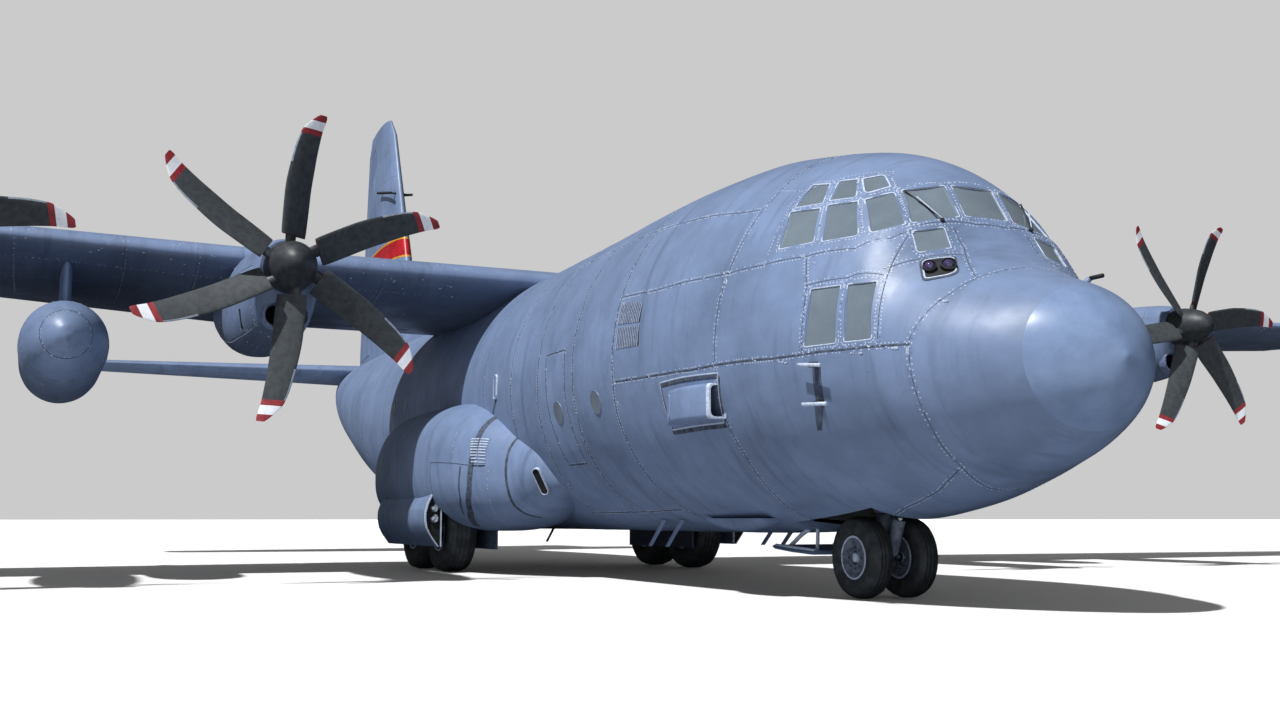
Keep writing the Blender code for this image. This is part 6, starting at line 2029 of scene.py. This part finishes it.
class PLANE_OT_materials(bpy.types.Operator):
    """Make every finish"""
    bl_idname = "plane.materials"
    bl_label = "Finishes"

    def execute(self, context):
        make_materials()
        return {"FINISHED"}


class PLANE_OT_fuselage(bpy.types.Operator):
    """Make the five lengths of fuselage skin"""
    bl_idname = "plane.fuselage"
    bl_label = "Fuselage skin"

    def execute(self, context):
        build_fuselage()
        return {"FINISHED"}


class PLANE_OT_wings(bpy.types.Operator):
    """Make the wing, the flaps and the ailerons"""
    bl_idname = "plane.wings"
    bl_label = "Wings"

    def execute(self, context):
        build_wings()
        return {"FINISHED"}


class PLANE_OT_tail(bpy.types.Operator):
    """Make the tailplane, the fin, the elevators and the rudder"""
    bl_idname = "plane.tail"
    bl_label = "Tail"

    def execute(self, context):
        build_tail()
        return {"FINISHED"}


class PLANE_OT_nacelles(bpy.types.Operator):
    """Make the four nacelles"""
    bl_idname = "plane.nacelles"
    bl_label = "Nacelles"

    def execute(self, context):
        build_nacelles()
        return {"FINISHED"}


class PLANE_OT_propellers(bpy.types.Operator):
    """Make the four propellers"""
    bl_idname = "plane.propellers"
    bl_label = "Propellers"

    def execute(self, context):
        build_propellers()
        return {"FINISHED"}


class PLANE_OT_tanks(bpy.types.Operator):
    """Make the under-wing tanks"""
    bl_idname = "plane.tanks"
    bl_label = "Tanks"

    def execute(self, context):
        build_tanks()
        return {"FINISHED"}


class PLANE_OT_sponsons(bpy.types.Operator):
    """Make the sponsons and the main gear doors"""
    bl_idname = "plane.sponsons"
    bl_label = "Sponsons"

    def execute(self, context):
        build_sponsons()
        return {"FINISHED"}


class PLANE_OT_wheels(bpy.types.Operator):
    """Make the tyres and hubs"""
    bl_idname = "plane.wheels"
    bl_label = "Wheels"

    def execute(self, context):
        build_wheels()
        return {"FINISHED"}


class PLANE_OT_frame(bpy.types.Operator):
    """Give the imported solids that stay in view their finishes"""
    bl_idname = "plane.frame"
    bl_label = "Plain pieces"

    def execute(self, context):
        dress_frame()
        return {"FINISHED"}


class PLANE_OT_windows(bpy.types.Operator):
    """Make the flight deck's panes and frames"""
    bl_idname = "plane.windows"
    bl_label = "Flight deck windows"

    def execute(self, context):
        build_windows()
        return {"FINISHED"}


class PLANE_OT_fittings(bpy.types.Operator):
    """Make the scoop, grilles, probes, wipers, aerials and the marks of the sponsons"""
    bl_idname = "plane.fittings"
    bl_label = "Fittings"

    def execute(self, context):
        build_scoop()
        build_grilles()
        build_sensor_box()
        build_probes()
        build_sponson_marks()
        return {"FINISHED"}


class PLANE_OT_marks(bpy.types.Operator):
    """Make the joints and small marks of the wing, tail, nacelles and tanks"""
    bl_idname = "plane.marks"
    bl_label = "Wing and tail joints"

    def execute(self, context):
        build_wing_marks()
        build_engine_marks()
        return {"FINISHED"}


class PLANE_OT_gear(bpy.types.Operator):
    """Make the nose gear's door, links and steered leg"""
    bl_idname = "plane.gear"
    bl_label = "Nose gear"

    def execute(self, context):
        build_gear_parts()
        return {"FINISHED"}


class PLANE_OT_cabin(bpy.types.Operator):
    """Make the pilots' seats and the dials"""
    bl_idname = "plane.cabin"
    bl_label = "Flight deck"

    def execute(self, context):
        build_cabin()
        return {"FINISHED"}


class PLANE_OT_seams(bpy.types.Operator):
    """Make the riveted joints of the fuselage"""
    bl_idname = "plane.seams"
    bl_label = "Fuselage seams"

    def execute(self, context):
        build_seams()
        return {"FINISHED"}


OPERATORS = (PLANE_OT_materials, PLANE_OT_stage, PLANE_OT_frame, PLANE_OT_fuselage, PLANE_OT_windows,
             PLANE_OT_seams, PLANE_OT_wings, PLANE_OT_tail, PLANE_OT_nacelles, PLANE_OT_propellers,
             PLANE_OT_tanks, PLANE_OT_sponsons, PLANE_OT_wheels, PLANE_OT_fittings,
             PLANE_OT_marks, PLANE_OT_gear, PLANE_OT_cabin)


class PLANE_PT_looks(bpy.types.Panel):
    """Sidebar panel with every step and setting"""
    bl_idname = "PLANE_PT_looks"
    bl_label = "Transport plane"
    bl_space_type = "VIEW_3D"
    bl_region_type = "UI"
    bl_category = "Plane"

    def draw(self, context):
        for operator in OPERATORS:
            self.layout.operator(operator.bl_idname)
        for group in (context.scene.plane_paint, context.scene.plane_seams, context.scene.plane_stage):
            for name in group.bl_rna.properties.keys():
                if name not in ("rna_type", "name"):
                    self.layout.prop(group, name)


CLASSES = (PaintSettings, SeamSettings, StageSettings) + OPERATORS + (PLANE_PT_looks,)


def register():
    for kind in CLASSES:
        bpy.utils.register_class(kind)
    bpy.types.Scene.plane_paint = PointerProperty(type=PaintSettings)
    bpy.types.Scene.plane_seams = PointerProperty(type=SeamSettings)
    bpy.types.Scene.plane_stage = PointerProperty(type=StageSettings)


def unregister():
    del bpy.types.Scene.plane_stage
    del bpy.types.Scene.plane_seams
    del bpy.types.Scene.plane_paint
    for kind in reversed(CLASSES):
        bpy.utils.unregister_class(kind)


def main():
    """Make every piece in order."""
    register()
    for operator in OPERATORS:
        group, name = operator.bl_idname.split(".")
        getattr(getattr(bpy.ops, group), name)()
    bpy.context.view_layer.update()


if __name__ == "__main__":
    main()
